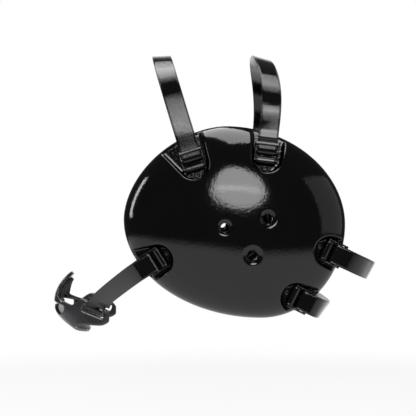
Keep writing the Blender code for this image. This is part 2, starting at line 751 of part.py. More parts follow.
def make_chin_cup(pivot):
    runs = [step / CUP_RUN_STEPS for step in range(-CUP_RUN_STEPS, CUP_RUN_STEPS + 1)]
    heights = [step / CUP_HEIGHT_STEPS for step in range(-CUP_HEIGHT_STEPS, CUP_HEIGHT_STEPS + 1)]
    cup = cup_sheet(runs, heights, 0.0, CUP_WALL)
    gap = bmesh.new()
    ring = []
    start = gap_fall_share * CUT_OVERRUN - CUP_GAP_LEVEL
    for step in range(CUP_GAP_STEPS):
        turn = step / CUP_GAP_STEPS * math.tau
        rise = CUP_GAP_HALF_HEIGHT * math.sin(turn)
        if rise < 0:
            rise *= 1 + gap_deep_share * math.cos(turn) ** 2
        ring.append(gap.verts.new((CUP_GAP_HALF_WIDTH * math.cos(turn), -CUP_FRONT - CUT_OVERRUN,
                                   start + rise)))
    face = gap.faces.new(ring)
    grown = bmesh.ops.extrude_face_region(gap, geom=[face])["geom"]
    tops = [item for item in grown if isinstance(item, bmesh.types.BMVert)]
    deep = CUP_FRONT - cup_side_end + CUT_OVERRUN
    bmesh.ops.translate(gap, verts=tops, vec=(0, deep, -deep * gap_fall_share))
    bmesh.ops.recalc_face_normals(gap, faces=gap.faces)
    cutters = [gap]
    slot, up = slot_directions()
    for way in (1, -1):
        place = Vector((way * CUP_HALF_WIDTH, -CUP_SLOT_FORWARD, -CUP_SLOT_LEVEL))
        place -= up * CUP_SLOT_HEIGHT / 2
        frame = Matrix((Vector((1, 0, 0)), slot, up)).transposed().to_4x4()
        size = Matrix.Diagonal((CUP_WALL + CUT_OVERRUN, slot_half_length * 2,
                                CUP_SLOT_HEIGHT, 1))
        box = bmesh.new()
        bmesh.ops.create_cube(box, size=1, matrix=Matrix.Translation(place) @ frame @ size)
        cutters.append(box)
    add_piece("chin_cup", cut(cup, cutters), pivot, shell_colour, 0.15)
    liner_runs = [run for run in runs if abs(run) <= liner_run_share]
    liner_rise = (liner_high_share - liner_low_share) / LINER_HEIGHT_STEPS
    liner_heights = [liner_low_share + liner_rise * step for step in range(LINER_HEIGHT_STEPS + 1)]
    liner_in = CUP_WALL / 2 + FIT_GAP + CUP_LINER_THICK / 2
    liner = cup_sheet(liner_runs, liner_heights, liner_in, CUP_LINER_THICK)
    add_piece("chin_cup_liner", liner, pivot, pad_colour, 0.6)


def build():
    clear_scene()
    head = make_pivot("head_centre", Vector((0, 0, 0)))
    make_guards(head)
    make_ear_pads(head)
    make_rivets(head)
    for name, *strap in head_strap_shares:
        pivot = make_pivot(name + "_pivot", pockets[name].rivet())
        make_head_strap(name, pivot, *strap)
        make_tab(name, pivot)
        make_buckle(name, pivot)
    chin = make_pivot("chin_pivot", pockets["chin"].rivet())
    make_chin_straps(chin)
    make_tab("chin", chin)
    make_buckle("chin", chin)
    slot, up = slot_directions()
    cup_place = Vector((0, -CUP_SLOT_FORWARD, -CUP_SLOT_LEVEL)) - up * CUP_SLOT_HEIGHT / 2
    make_chin_cup(make_pivot("chin_cup_pivot", cup_place))


build()
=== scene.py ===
import json
import math

import bpy
import numpy as np
from mathutils import Matrix, Vector

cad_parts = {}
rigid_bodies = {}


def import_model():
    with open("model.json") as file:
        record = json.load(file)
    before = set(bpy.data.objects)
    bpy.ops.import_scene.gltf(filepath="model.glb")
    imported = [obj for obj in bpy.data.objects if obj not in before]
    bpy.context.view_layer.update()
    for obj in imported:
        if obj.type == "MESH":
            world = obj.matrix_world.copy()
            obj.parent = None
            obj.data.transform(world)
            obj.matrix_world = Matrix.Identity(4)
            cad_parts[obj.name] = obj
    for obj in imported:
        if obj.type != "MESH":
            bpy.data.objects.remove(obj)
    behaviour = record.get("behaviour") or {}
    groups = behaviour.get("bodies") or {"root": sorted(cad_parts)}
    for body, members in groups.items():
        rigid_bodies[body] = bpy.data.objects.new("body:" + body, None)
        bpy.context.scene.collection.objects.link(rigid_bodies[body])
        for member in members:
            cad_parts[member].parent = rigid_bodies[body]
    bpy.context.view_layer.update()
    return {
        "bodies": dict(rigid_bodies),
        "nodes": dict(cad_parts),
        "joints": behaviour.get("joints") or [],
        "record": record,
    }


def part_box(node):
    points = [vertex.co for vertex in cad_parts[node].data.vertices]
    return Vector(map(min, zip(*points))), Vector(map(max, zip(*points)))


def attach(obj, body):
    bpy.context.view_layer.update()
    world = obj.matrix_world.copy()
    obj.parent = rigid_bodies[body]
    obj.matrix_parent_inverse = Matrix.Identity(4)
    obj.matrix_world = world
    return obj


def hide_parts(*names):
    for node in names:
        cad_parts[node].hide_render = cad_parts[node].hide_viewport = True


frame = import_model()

print("frame loaded:", len(frame["nodes"]), "nodes")


# Small helpers

def deselectAll():
    for item in bpy.context.selected_objects:
        item.select_set(False)


def activate(item):
    deselectAll()
    item.select_set(True)
    bpy.context.view_layer.objects.active = item
    return item


def addModifier(item, kind, **settings):
    modifier = item.modifiers.new(kind.lower(), kind)
    for key, value in settings.items():
        setattr(modifier, key, value)
    return modifier


def applyAll(item):
    activate(item)
    for modifier in list(item.modifiers):
        bpy.ops.object.modifier_apply(modifier=modifier.name)


def applyPlace(item):
    activate(item)
    bpy.ops.object.transform_apply(location=True, rotation=True, scale=True)


def readPoints(item):
    points = np.zeros(len(item.data.vertices) * 3)
    item.data.vertices.foreach_get("co", points)
    return points.reshape(-1, 3)


def writePoints(item, points):
    item.data.vertices.foreach_set("co", points.ravel())
    item.data.update()


def editAll(item, operator, **settings):
    # one operator on the whole mesh
    activate(item)
    bpy.ops.object.mode_set(mode="EDIT")
    bpy.ops.mesh.select_all(action="SELECT")
    operator(**settings)
    bpy.ops.object.mode_set(mode="OBJECT")


def faceOut(item):
    editAll(item, bpy.ops.mesh.normals_make_consistent, inside=False)


def extrude(item, way):
    editAll(item, bpy.ops.mesh.extrude_region_move, TRANSFORM_OT_translate={"value": way})


def editPart(item, kind, test, operator, **settings):
    # one operator on the vertices, edges or polygons that the test takes
    activate(item)
    kinds = ("vertices", "edges", "polygons")
    bpy.context.tool_settings.mesh_select_mode = tuple(kind == each for each in kinds)
    for each in kinds:
        for part in getattr(item.data, each):
            part.select = each == kind and test(part)
    bpy.ops.object.mode_set(mode="EDIT")
    operator(**settings)
    bpy.ops.object.mode_set(mode="OBJECT")


def remesh(item, voxel, smoothRounds):
    addModifier(item, "REMESH", mode="VOXEL", voxel_size=voxel)
    addModifier(item, "SMOOTH", factor=0.5, iterations=smoothRounds)
    applyAll(item)


def makeGrid(rowCount, columnCount):
    # a flat grid, with the row and column of each of its points
    bpy.ops.mesh.primitive_grid_add(x_subdivisions=rowCount - 1, y_subdivisions=columnCount - 1, size=2)
    item = bpy.context.object
    shares = (readPoints(item) + 1) / 2
    row = np.rint(shares[:, 0] * (rowCount - 1)).astype(int)
    column = np.rint(shares[:, 1] * (columnCount - 1)).astype(int)
    return item, row, column


def cutWith(item, cutters):
    for cutter in cutters:
        addModifier(item, "BOOLEAN", operation="DIFFERENCE", solver="MANIFOLD", object=cutter)
    applyAll(item)
    for cutter in cutters:
        bpy.data.objects.remove(cutter, do_unlink=True)


def copyOf(item):
    twin = item.copy()
    twin.data = item.data.copy()
    bpy.context.collection.objects.link(twin)
    return twin


def mirrorOf(item):
    # the right-hand twin: x turned over, faces turned back out
    twin = copyOf(item)
    writePoints(twin, readPoints(twin) * np.array((-1.0, 1.0, 1.0)))
    editAll(twin, bpy.ops.mesh.flip_normals)
    return twin


def smoothShade(item, degrees=None):
    activate(item)
    if degrees is None:
        bpy.ops.object.shade_smooth()
    else:
        bpy.ops.object.shade_smooth_by_angle(angle=math.radians(degrees))


def finishPiece(item, name, material, body, replaced):
    applyPlace(item)
    item.name = name
    item.data.name = name
    item.data.materials.clear()
    item.data.materials.append(material)
    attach(item, body)
    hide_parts(*replaced)
    return item


def finishPair(item, name, material, body, nodeEnd):
    twin = mirrorOf(item)
    finishPiece(item, "left_" + name, material, body, ["left_" + nodeEnd])
    finishPiece(twin, "right_" + name, material, body, ["right_" + nodeEnd])
    return item, twin


def addNode(tree, kind, values=None, links=None, **settings):
    node = tree.nodes.new(kind)
    for key, value in settings.items():
        setattr(node, key, value)
    for key, value in (values or {}).items():
        node.inputs[key].default_value = value
    for key, source in (links or {}).items():
        tree.links.new(source, node.inputs[key])
    return node


def mapRange(tree, source, low, high, first=0.0, last=1.0, kind="LINEAR"):
    return addNode(tree, "ShaderNodeMapRange",
                   {"From Min": low, "From Max": high, "To Min": first, "To Max": last},
                   {"Value": source}, interpolation_type=kind).outputs[0]


def mixShaders(tree, share, first, second):
    return addNode(tree, "ShaderNodeMixShader", links={0: share, 1: first, 2: second}).outputs[0]


def linearColour(hexColour):
    channels = [int(hexColour[at:at + 2], 16) / 255 for at in (1, 3, 5)]
    return tuple(c / 12.92 if c <= 0.04045 else ((c + 0.055) / 1.055) ** 2.4 for c in channels) + (1.0,)


def newMaterial(name, **shaderValues):
    material = bpy.data.materials.new(name)
    material.use_nodes = True
    tree = material.node_tree
    shader = tree.nodes["Principled BSDF"]
    for key, value in shaderValues.items():
        shader.inputs[key].default_value = value
    return material, tree, shader


# Camera, light and stage

camera = {
    "place": (1.05, -0.020, 0.0106),
    "lens": 110.8,
    "sensor": 36.0,
    "clipStart": 0.01,
}

stage = {
    "floorLevel": -0.205,
    "floorRadius": 0.98,
    "floorSides": 160,
    "floorFull": 0.62,             # the floor fades out from here
    "fadeEnd": 0.97,               # to this share of its radius
    "floorColour": "#F4F4F4",
    "floorGlow": 0.80,
    "backColour": 1.0,
    "backEdge": -0.972,            # looking in a direction with x below this, only the backdrop
    "roomEdge": -0.87,             # and from here on only the room
    "roomColour": 0.08,
}

# shape, place, width and height, watts
softboxes = {
    "mainSoftbox": ("ELLIPSE", (1.24, 0.060, 0.43), (0.54, 0.64), 6.2),
    "lampLine": ("RECTANGLE", (1.22, 0.055, 0.375), (0.44, 0.055), 0.30),
    "overheadSoftbox": ("RECTANGLE", (-0.08, -0.045, 1.10), (0.62, 1.34), 13.6),
    "frontStrip": ("RECTANGLE", (0.10, -1.20, 0.40), (0.20, 0.70), 4.0),
    "rearFill": ("RECTANGLE", (0.30, 1.60, 0.42), (1.80, 1.30), 3.6),
}


def makeCamera():
    data = bpy.data.cameras.new("photoCamera")
    data.lens = camera["lens"]
    data.sensor_width = camera["sensor"]
    data.clip_start = camera["clipStart"]
    item = bpy.data.objects.new("photoCamera", data)
    item.location = camera["place"]
    item.rotation_euler = (math.pi / 2, 0, math.pi / 2)    # looks along -X, upright
    bpy.context.collection.objects.link(item)
    bpy.context.scene.camera = item


def makeSoftbox(name, shape, place, size, power):
    data = bpy.data.lights.new(name, "AREA")
    data.shape = shape
    data.size, data.size_y = size
    data.energy = power
    item = bpy.data.objects.new(name, data)
    item.location = place
    item.rotation_euler = (-Vector(place)).to_track_quat("-Z", "Y").to_euler()    # faces the origin
    bpy.context.collection.objects.link(item)


def makeFloor():
    bpy.ops.mesh.primitive_circle_add(vertices=stage["floorSides"], radius=stage["floorRadius"],
                                      fill_type="NGON", location=(0, 0, stage["floorLevel"]))
    floor = bpy.context.object
    floor.name = "studio_floor"
    material = bpy.data.materials.new("paintedFloor")
    material.use_nodes = True
    tree = material.node_tree
    tree.nodes.clear()
    # the camera and the shiny pieces see the sheet partly lit from itself, so it shows near white
    path = addNode(tree, "ShaderNodeLightPath")
    seen = addNode(tree, "ShaderNodeMath", operation="ADD", use_clamp=True,
                   links={0: path.outputs["Is Camera Ray"], 1: path.outputs["Is Glossy Ray"]})
    also = addNode(tree, "ShaderNodeMath", operation="ADD", use_clamp=True,
                   links={0: seen.outputs[0], 1: path.outputs["Is Transmission Ray"]})
    share = addNode(tree, "ShaderNodeMath", {1: stage["floorGlow"]}, {0: also.outputs[0]},
                    operation="MULTIPLY")
    paint = addNode(tree, "ShaderNodeBsdfDiffuse", {"Color": linearColour(stage["floorColour"])})
    glow = addNode(tree, "ShaderNodeEmission", {"Color": (1, 1, 1, 1), "Strength": 1.0})
    mixed = mixShaders(tree, share.outputs[0], paint.outputs[0], glow.outputs[0])
    # the sheet fades out towards its edge, so no line shows where it ends
    place = addNode(tree, "ShaderNodeTexCoord")
    reach = addNode(tree, "ShaderNodeVectorMath", links={0: place.outputs["Object"]}, operation="LENGTH")
    fade = mapRange(tree, reach.outputs["Value"], stage["floorFull"], stage["floorRadius"] * stage["fadeEnd"],
                    kind="SMOOTHSTEP")
    clear = addNode(tree, "ShaderNodeBsdfTransparent")
    faded = mixShaders(tree, fade, mixed, clear.outputs[0])
    addNode(tree, "ShaderNodeOutputMaterial", links={"Surface": faded})
    floor.data.materials.append(material)


def makeRoom():
    # a pale backdrop behind the headgear, fading to a dim room on the other sides
    world = bpy.data.worlds.new("studioRoom")
    bpy.context.scene.world = world
    world.use_nodes = True
    tree = world.node_tree
    tree.nodes.clear()
    way = addNode(tree, "ShaderNodeTexCoord")
    parts = addNode(tree, "ShaderNodeSeparateXYZ", links={0: way.outputs["Generated"]})
    fade = mapRange(tree, parts.outputs["X"], stage["backEdge"], stage["roomEdge"],
                    stage["backColour"], stage["roomColour"], "SMOOTHSTEP")
    light = addNode(tree, "ShaderNodeBackground", {"Strength": 1.0}, {"Color": fade})
    addNode(tree, "ShaderNodeOutputWorld", links={"Surface": light.outputs[0]})


makeCamera()
makeFloor()
makeRoom()
for softboxName, softbox in softboxes.items():
    makeSoftbox(softboxName, *softbox)
bpy.context.scene.view_settings.view_transform = "Standard"
print("camera and light ready")


# Finishes

# in each: widths and depths of its grain in metres, tones from dark to light, gloss as roughness
noiseSpan = (0.3, 0.7)             # where nearly all of a noise's values lie


def addNoise(tree, place, width, detail, **values):
    return addNode(tree, "ShaderNodeTexNoise", {"Scale": 1 / width, "Detail": detail, **values},
                   {"Vector": place}).outputs["Fac"]


def addBump(tree, height, depth, under=None, strength=1.0):
    links = {"Height": height}
    if under is not None:
        links["Normal"] = under
    return addNode(tree, "ShaderNodeBump", {"Strength": strength, "Distance": depth}, links).outputs[0]


def wireTone(tree, shader, source, tones):
    ramp = addNode(tree, "ShaderNodeValToRGB", links={"Fac": source})
    for stop, tone in zip(ramp.color_ramp.elements, tones):
        stop.color = linearColour(tone)
    tree.links.new(ramp.outputs[0], shader.inputs["Base Color"])


def wireGloss(tree, shader, source, span):
    tree.links.new(mapRange(tree, source, *noiseSpan, *span), shader.inputs["Roughness"])


vinyl = {
    "shader": {"Roughness": 0.07, "IOR": 1.47},
    "tones": ("#030304", "#070708"),
    "gloss": (0.05, 0.09),
    "peel": {"width": 0.0019, "detail": 2.5, "Roughness": 0.6},
    "peelDepth": 0.00005,
    "sag": {"width": 0.018, "detail": 1.0},
    "sagDepth": 0.00008,
}


def makeDippedVinyl():
    # plastisol-dipped foam: a wet black gloss with the faint orange peel of a dipped skin
    material, tree, shader = newMaterial("dippedVinyl", **vinyl["shader"])
    place = addNode(tree, "ShaderNodeTexCoord").outputs["Object"]
    peel = addNoise(tree, place, **vinyl["peel"])
    sag = addNoise(tree, place, **vinyl["sag"])
    skin = addBump(tree, peel, vinyl["peelDepth"], addBump(tree, sag, vinyl["sagDepth"]))
    wireTone(tree, shader, sag, vinyl["tones"])
    wireGloss(tree, shader, peel, vinyl["gloss"])
    tree.links.new(skin, shader.inputs["Normal"])
    return material


coat = {
    "shader": {"Roughness": 0.06, "IOR": 1.49},
    "tones": ("#050506", "#0B0B0C"),
    "gloss": (0.05, 0.085),
    "ribPitch": 0.0011,
    "ribWander": 0.4,
    "ribDetail": 1.0,
    "ribDepth": 0.000006,
    "grain": {"width": 0.0012, "detail": 2.0},
    "grainDepth": 0.000004,
    "cloud": {"width": 0.012, "detail": 2.0},
}


def makeCoatedWebbing():
    # polyester webbing under a clear-gloss vinyl coat: the cross ribs still telegraph through
    material, tree, shader = newMaterial("coatedWebbing", **coat["shader"])
    place = addNode(tree, "ShaderNodeUVMap").outputs[0]
    waves = math.pi / 10 / coat["ribPitch"]    # a band texture has 10 / pi bands to the unit
    ribs = addNode(tree, "ShaderNodeTexWave",
                   {"Scale": waves, "Distortion": coat["ribWander"], "Detail": coat["ribDetail"]},
                   {"Vector": place}, wave_type="BANDS", bands_direction="X").outputs["Fac"]
    grain = addNoise(tree, place, **coat["grain"])
    cloud = addNoise(tree, place, **coat["cloud"])
    skin = addBump(tree, ribs, coat["ribDepth"], addBump(tree, grain, coat["grainDepth"]))
    wireTone(tree, shader, cloud, coat["tones"])
    wireGloss(tree, shader, cloud, coat["gloss"])
    tree.links.new(skin, shader.inputs["Normal"])
    return material


nylon = {
    "shader": {"Roughness": 0.18, "IOR": 1.5},
    "tones": ("#040405", "#0A0A0B"),
    "grain": {"width": 0.0005, "detail": 2.0},
    "grainDepth": 0.000008,
}


def makeMouldedNylon():
    # injection-moulded nylon: satin black, a spark-eroded grain in the mould
    material, tree, shader = newMaterial("mouldedNylon", **nylon["shader"])
    place = addNode(tree, "ShaderNodeTexCoord").outputs["Object"]
    grain = addNoise(tree, place, **nylon["grain"])
    wireTone(tree, shader, grain, nylon["tones"])
    tree.links.new(addBump(tree, grain, nylon["grainDepth"]), shader.inputs["Normal"])
    return material


foam = {
    "shader": {"Roughness": 0.75, "IOR": 1.45},
    "tones": ("#1B1B1C", "#29292B"),
    "cellWidth": 0.0008,
    "cellDepth": 0.00015,
    "cellStrength": 0.8,
    "cloud": {"width": 0.02, "detail": 3.0},
}


def makePressedFoam():
    # closed-cell foam, skived: matt black with open cells
    material, tree, shader = newMaterial("pressedFoam", **foam["shader"])
    place = addNode(tree, "ShaderNodeTexCoord").outputs["Object"]
    cells = addNode(tree, "ShaderNodeTexVoronoi", {"Scale": 1 / foam["cellWidth"], "Randomness": 1.0},
                    {"Vector": place}).outputs["Distance"]
    wireTone(tree, shader, addNoise(tree, place, **foam["cloud"]), foam["tones"])
    skin = addBump(tree, cells, foam["cellDepth"], strength=foam["cellStrength"])
    tree.links.new(skin, shader.inputs["Normal"])
    return material


lacquer = {
    "shader": {"Roughness": 0.25, "Metallic": 0.2},
    "tones": ("#0A0A0B", "#1E1E20"),
    "scuff": {"width": 0.0009, "detail": 4.0},
}


def makeLacqueredSteel():
    # black-lacquered tubular rivet: a dark satin, mottled with scuffs
    material, tree, shader = newMaterial("lacqueredSteel", **lacquer["shader"])
    place = addNode(tree, "ShaderNodeTexCoord").outputs["Object"]
    wireTone(tree, shader, addNoise(tree, place, **lacquer["scuff"]), lacquer["tones"])
    return material


rubber = {
    "shader": {"Roughness": 0.25, "IOR": 1.58},
    "tones": ("#222224", "#3A3A3E"),
    "gloss": (0.17, 0.28),
    "grain": {"width": 0.0009, "detail": 3.0},
    "grainDepth": 0.00002,
    "cloud": {"width": 0.015, "detail": 2.0},
}


def makeMouldedRubber():
    # compression-moulded rubber: satin, slightly greyed, with a fine leathery grain
    material, tree, shader = newMaterial("mouldedRubber", **rubber["shader"])
    place = addNode(tree, "ShaderNodeTexCoord").outputs["Object"]
    grain = addNoise(tree, place, **rubber["grain"])
    cloud = addNoise(tree, place, **rubber["cloud"])
    wireTone(tree, shader, cloud, rubber["tones"])
    wireGloss(tree, shader, cloud, rubber["gloss"])
    tree.links.new(addBump(tree, grain, rubber["grainDepth"]), shader.inputs["Normal"])
    return material


dippedVinyl = makeDippedVinyl()
coatedWebbing = makeCoatedWebbing()
mouldedNylon = makeMouldedNylon()
pressedFoam = makePressedFoam()
lacqueredSteel = makeLacqueredSteel()
mouldedRubber = makeMouldedRubber()
print("finishes ready")


# Ear guards

guardLow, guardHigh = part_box("left_guard_shell")
guard = {
    "back": guardLow.x,
    "depth": guardHigh.x - guardLow.x,
    "halfLength": (guardHigh.y - guardLow.y) / 2,
    "halfHeight": (guardHigh.z - guardLow.z) / 2,
    "wall": 0.0060,                # dome over the ear hollow
    "pocketFloor": 0.0065,
    "earHalfLength": 0.033,
    "earHalfHeight": 0.037,
    "crestAlong": -0.071,          # shares of the half length or half height
    "footAlong": 0.238,
    "noseUp": 0.027,
    "tailUp": -0.022,
    "tailCrest": 1.95,             # fullness of each quarter, 2 being an ellipse
    "crestNose": 1.8,
    "noseFoot": 1.98,
    "footTail": 2.0,
    "domeFlat": 2.2,
    "domeRound": 0.54,
    "segments": 200,
    "rings": 120,
    "earSegments": 96,
    "earRings": 60,
    "rimSteps": 4001,
    "atRim": 0.9999,               # share from which a point counts as on the rim
    "leastShare": 0.01,            # nearer the middle than this, the skin isn't grown outwards
    "voxel": 0.0008,
    "skinRounds": 4,               # smoothing rounds that stand for the thickness of the dip
    "edgeRound": 0.0011,           # radius of the skin where it turns into a pocket
    "edgeZone": 0.0021,
    "snapFrom": 0.0012,            # distance from a cut edge where the true dome starts
    "snapFull": 0.0030,
    "snapCatch": 0.0010,           # and how far from it the skin may lie to be drawn onto it
    "rimLow": 0.0006,              # over this height the outer skin goes back out to the rim
    "rimFull": 0.0018,
    "rimTop": 0.0120,
    "rimCatch": 0.0022,
    "cutOverrun": 0.010,
}
pocketBase = guard["back"] + guard["pocketFloor"]

# centre as shares, exit angle from straight back turning up, flare of each side wall, and how far
# the strap sits to one side as a share of the radius
pocketTable = {
    "front_crown": (-0.365, 0.595, 107.0, 27.0, 3.0, 0.0),
    "rear_crown": (0.286, 0.667, 83.0, 6.0, 3.0, 0.043),
    "chin": (-0.686, -0.389, 212.0, 2.0, 19.0, -0.05),
    "upper_rear": (0.845, -0.307, -25.5, 10.0, 0.0, 0.043),
    "lower_rear": (0.548, -0.784, -26.5, 6.0, 9.0, 0.05),
}
pocketShape = {"radius": 0.0117, "reach": 0.045, "arcSteps": 48, "mouthSteps": 2000}

# along and up as shares, and size
ventTable = ((-0.088, -0.052, 0.86), (0.288, 0.038, 1.0), (0.155, -0.337, 1.04))
ventShape = {"hole": 0.0038, "dish": 0.0076, "dishDepth": 0.0026, "dishFade": 0.0048}

rivet = {
    "back": 0.0082,
    "headRadius": 0.0022,
    "headHeight": 0.0015,
    "shankRadius": 0.0014,
    "footRadius": 0.0045,
    "footHeight": 0.0010,
    "hole": 0.0004,
    "gap": 0.0003,
    "eyelet": 0.0007,
    "sides": 40,
    "crownSteps": 9,
    "sharp": 35,
    # its outline as shares of the radius and height of foot, head and eyelet
    "footShares": ((0.94, 0.0), (1.0, 0.2), (1.0, 0.8), (0.96, 1.0)),
    "rollShares": ((0.95, 0.0), (1.0, 0.1)),
    "crownFlat": 0.62,
    "crownLow": 0.25,
    "crownRise": 0.70,
    "dimpleShares": ((1.25, 0.9), (1.0, 0.7), (0.8, 0.35)),
}
holeSides = 48
tiny = 1e-9                        # keeps a division from zero


def outlineAt(turn):
    # y and z of the rim, turn running from the tail over the crest to the nose
    back, up = np.cos(turn) >= 0, np.sin(turn) >= 0
    fullness = np.where(up, np.where(back, guard["tailCrest"], guard["crestNose"]),
                        np.where(back, guard["footTail"], guard["noseFoot"]))
    alongMiddle = np.where(up, guard["crestAlong"], guard["footAlong"]) * guard["halfLength"]
    upMiddle = np.where(back, guard["tailUp"], guard["noseUp"]) * guard["halfHeight"]
    along = np.sign(np.cos(turn)) * np.abs(np.cos(turn)) ** (2 / fullness)
    rise = np.sign(np.sin(turn)) * np.abs(np.sin(turn)) ** (2 / fullness)
    alongReach = np.where(back, guard["halfLength"] - alongMiddle, guard["halfLength"] + alongMiddle)
    upReach = np.where(up, guard["halfHeight"] - upMiddle, guard["halfHeight"] + upMiddle)
    return alongMiddle + along * alongReach, upMiddle + rise * upReach


rimTurns = np.linspace(-math.pi, math.pi, guard["rimSteps"])
rimY, rimZ = outlineAt(rimTurns)
rimAngles = np.arctan2(rimZ, rimY)
rimReach = np.hypot(rimY, rimZ)
rimOrder = np.argsort(rimAngles)


def shareAt(y, z):
    reach = np.interp(np.arctan2(z, y), rimAngles[rimOrder], rimReach[rimOrder], period=2 * math.pi)
    return np.hypot(y, z) / reach


def domeRise(share):
    return guard["depth"] * np.clip(1 - share ** guard["domeFlat"], 0, 1) ** guard["domeRound"]


class Pocket:
    def __init__(self, name):
        along, up, angle, flareA, flareB, seat = pocketTable[name]
        turn = math.radians(angle)
        self.centre = np.array((0, along * guard["halfLength"], up * guard["halfHeight"]))
        self.out = np.array((0, math.cos(turn), math.sin(turn)))
        self.across = np.cross((1, 0, 0), self.out)
        self.flares = (math.radians(flareA), math.radians(flareB))
        self.seat = seat * pocketShape["radius"]

    def at(self, rise, along, side=0.0):
        return np.array((rise, 0, 0)) + self.centre + self.out * along + self.across * side

    def fit(self, rise, along, side=0.0):
        # the same for the strap and its fittings
        return self.at(rise, along, self.seat + side)

    def mouth(self):
        steps = np.linspace(0, guard["halfLength"], pocketShape["mouthSteps"])
        spots = self.fit(0, 0) + np.outer(steps, self.out)
        return steps[np.argmax(shareAt(spots[:, 1], spots[:, 2]) >= 1)]

    def distance(self, y, z):
        # how far outside the pocket's wall a place is, negative inside, and the way straight out
        along = (y - self.centre[1]) * self.out[1] + (z - self.centre[2]) * self.out[2]
        side = (y - self.centre[1]) * self.across[1] + (z - self.centre[2]) * self.across[2]
        flare = np.where(side >= 0, self.flares[0], self.flares[1])
        onWall = along * np.cos(flare) + np.abs(side) * np.sin(flare) > 0
        toWall = np.abs(side) * np.cos(flare) - along * np.sin(flare) - pocketShape["radius"]
        far = np.maximum(np.hypot(along, side), tiny)
        wayAlong = np.where(onWall, -np.sin(flare), along / far)
        waySide = np.where(onWall, np.sign(side) * np.cos(flare), side / far)
        way = wayAlong[:, None] * self.out[1:] + waySide[:, None] * self.across[1:]
        return np.where(onWall, toWall, far - pocketShape["radius"]), way

    def matrix(self, rise):
        # local x stays outwards, local y runs out along the strap, local z across it
        frame = Matrix((Vector((1, 0, 0)), Vector(self.out), Vector(self.across))).transposed().to_4x4()
        return Matrix.Translation(Vector(self.fit(rise, 0))) @ frame


pockets = {name: Pocket(name) for name in pocketTable}


def easeIn(value, low, high):
    share = np.clip((value - low) / (high - low), 0, 1)
    return share * share * (3 - 2 * share)


def makeDome(segments, rings, outline, lift):
    # half a sphere, cut at its equator and pressed to the outline
    bpy.ops.mesh.primitive_uv_sphere_add(segments=segments, ring_count=rings, radius=1.0)
    item = bpy.context.object
    editAll(item, bpy.ops.mesh.bisect, plane_co=(0, 0, 0), plane_no=(0, 0, 1),
            clear_inner=True, use_fill=True)
    points = readPoints(item)
    share = np.minimum(np.hypot(points[:, 0], points[:, 1]), 1.0)
    y, z = outline(np.arctan2(points[:, 1], points[:, 0]))
    writePoints(item, np.stack((lift(share), y * share, z * share), axis=1))
    return item


def pocketCutter(pocket):
    first, second = pocket.flares
    radius, reach = pocketShape["radius"], pocketShape["reach"]
    arc = np.linspace(math.pi / 2 + first, math.pi * 3 / 2 - second, pocketShape["arcSteps"])
    along = np.concatenate(([reach], radius * np.cos(arc), [reach]))
    side = np.concatenate(([radius / math.cos(first) + reach * math.tan(first)], radius * np.sin(arc),
                           [-radius / math.cos(second) - reach * math.tan(second)]))
    bpy.ops.mesh.primitive_circle_add(vertices=len(along), radius=radius, fill_type="NGON")
    item = bpy.context.object
    writePoints(item, np.array([pocket.at(pocketBase, a, s) for a, s in zip(along, side)]))
    extrude(item, (guard["depth"] + guard["cutOverrun"], 0, 0))
    faceOut(item)
    return item


def roundCutter(radius, low, high, y, z):
    bpy.ops.mesh.primitive_cone_add(vertices=holeSides, radius1=radius, radius2=radius, depth=high - low,
                                    rotation=(0, math.pi / 2, 0), location=((low + high) / 2, y, z))
    item = bpy.context.object
    applyPlace(item)
    return item


def ventPlaces():
    return [(along * guard["halfLength"], up * guard["halfHeight"], size) for along, up, size in ventTable]


def guardCutters():
    back, overrun = guard["back"], guard["cutOverrun"]
    hollowShare = (guard["depth"] - guard["wall"]) / guard["depth"]
    halfLength, halfHeight = guard["earHalfLength"], guard["earHalfHeight"]
    ear = makeDome(guard["earSegments"], guard["earRings"],
                   lambda turn: (halfLength * np.cos(turn), halfHeight * np.sin(turn)),
                   lambda share: np.where(share > guard["atRim"], back - overrun,
                                          back + domeRise(share) * hollowShare))
    cutters = [ear] + [pocketCutter(pocket) for pocket in pockets.values()]
    for y, z, size in ventPlaces():
        top = back + guard["depth"] + overrun
        cutters.append(roundCutter(ventShape["hole"] * size, back - overrun, top, y, z))
    for pocket in pockets.values():
        y, z = pocket.fit(0, -rivet["back"])[1:]
        seat, top = back + rivet["gap"] * 2 + rivet["footHeight"], pocketBase + guard["wall"]
        cutters.append(roundCutter(rivet["shankRadius"] + rivet["hole"], back, top, y, z))
        cutters.append(roundCutter(rivet["footRadius"] + rivet["hole"], back - overrun, seat, y, z))
    return cutters


def ontoDome(x, y, z):
    # away from its cut edges the skin goes back onto the true dome: first outwards near the rim
    back = guard["back"]
    clear = np.min([pocket.distance(y, z)[0] for pocket in pockets.values()], axis=0)
    share = shareAt(y, z)
    rise = np.clip((x - back) / guard["depth"], 0, 1)
    trueShare = np.clip(1 - rise ** (1 / guard["domeRound"]), 0, 1) ** (1 / guard["domeFlat"])
    near = np.abs(trueShare - share) * guard["halfHeight"] < guard["rimCatch"]
    near &= x - back < guard["rimTop"]
    hold = easeIn(clear, guard["snapFrom"], guard["snapFull"])
    hold *= easeIn(x - back, guard["rimLow"], guard["rimFull"])
    grow = 1 + (trueShare / np.maximum(share, guard["leastShare"]) - 1) * hold * near
    y, z = y * grow, z * grow
    # then in height
    share = shareAt(y, z)
    surface = back + domeRise(share)
    inside = (1 - share) * guard["halfHeight"]
    hold = easeIn(np.minimum(clear, inside), guard["snapFrom"], guard["snapFull"])
    for ventY, ventZ, size in ventPlaces():
        fromHole = np.hypot(y - ventY, z - ventZ) - ventShape["hole"] * size
        hold *= easeIn(fromHole, guard["snapFrom"], guard["snapFull"])
    return x + (surface - x) * hold * (np.abs(x - surface) < guard["snapCatch"]), y, z


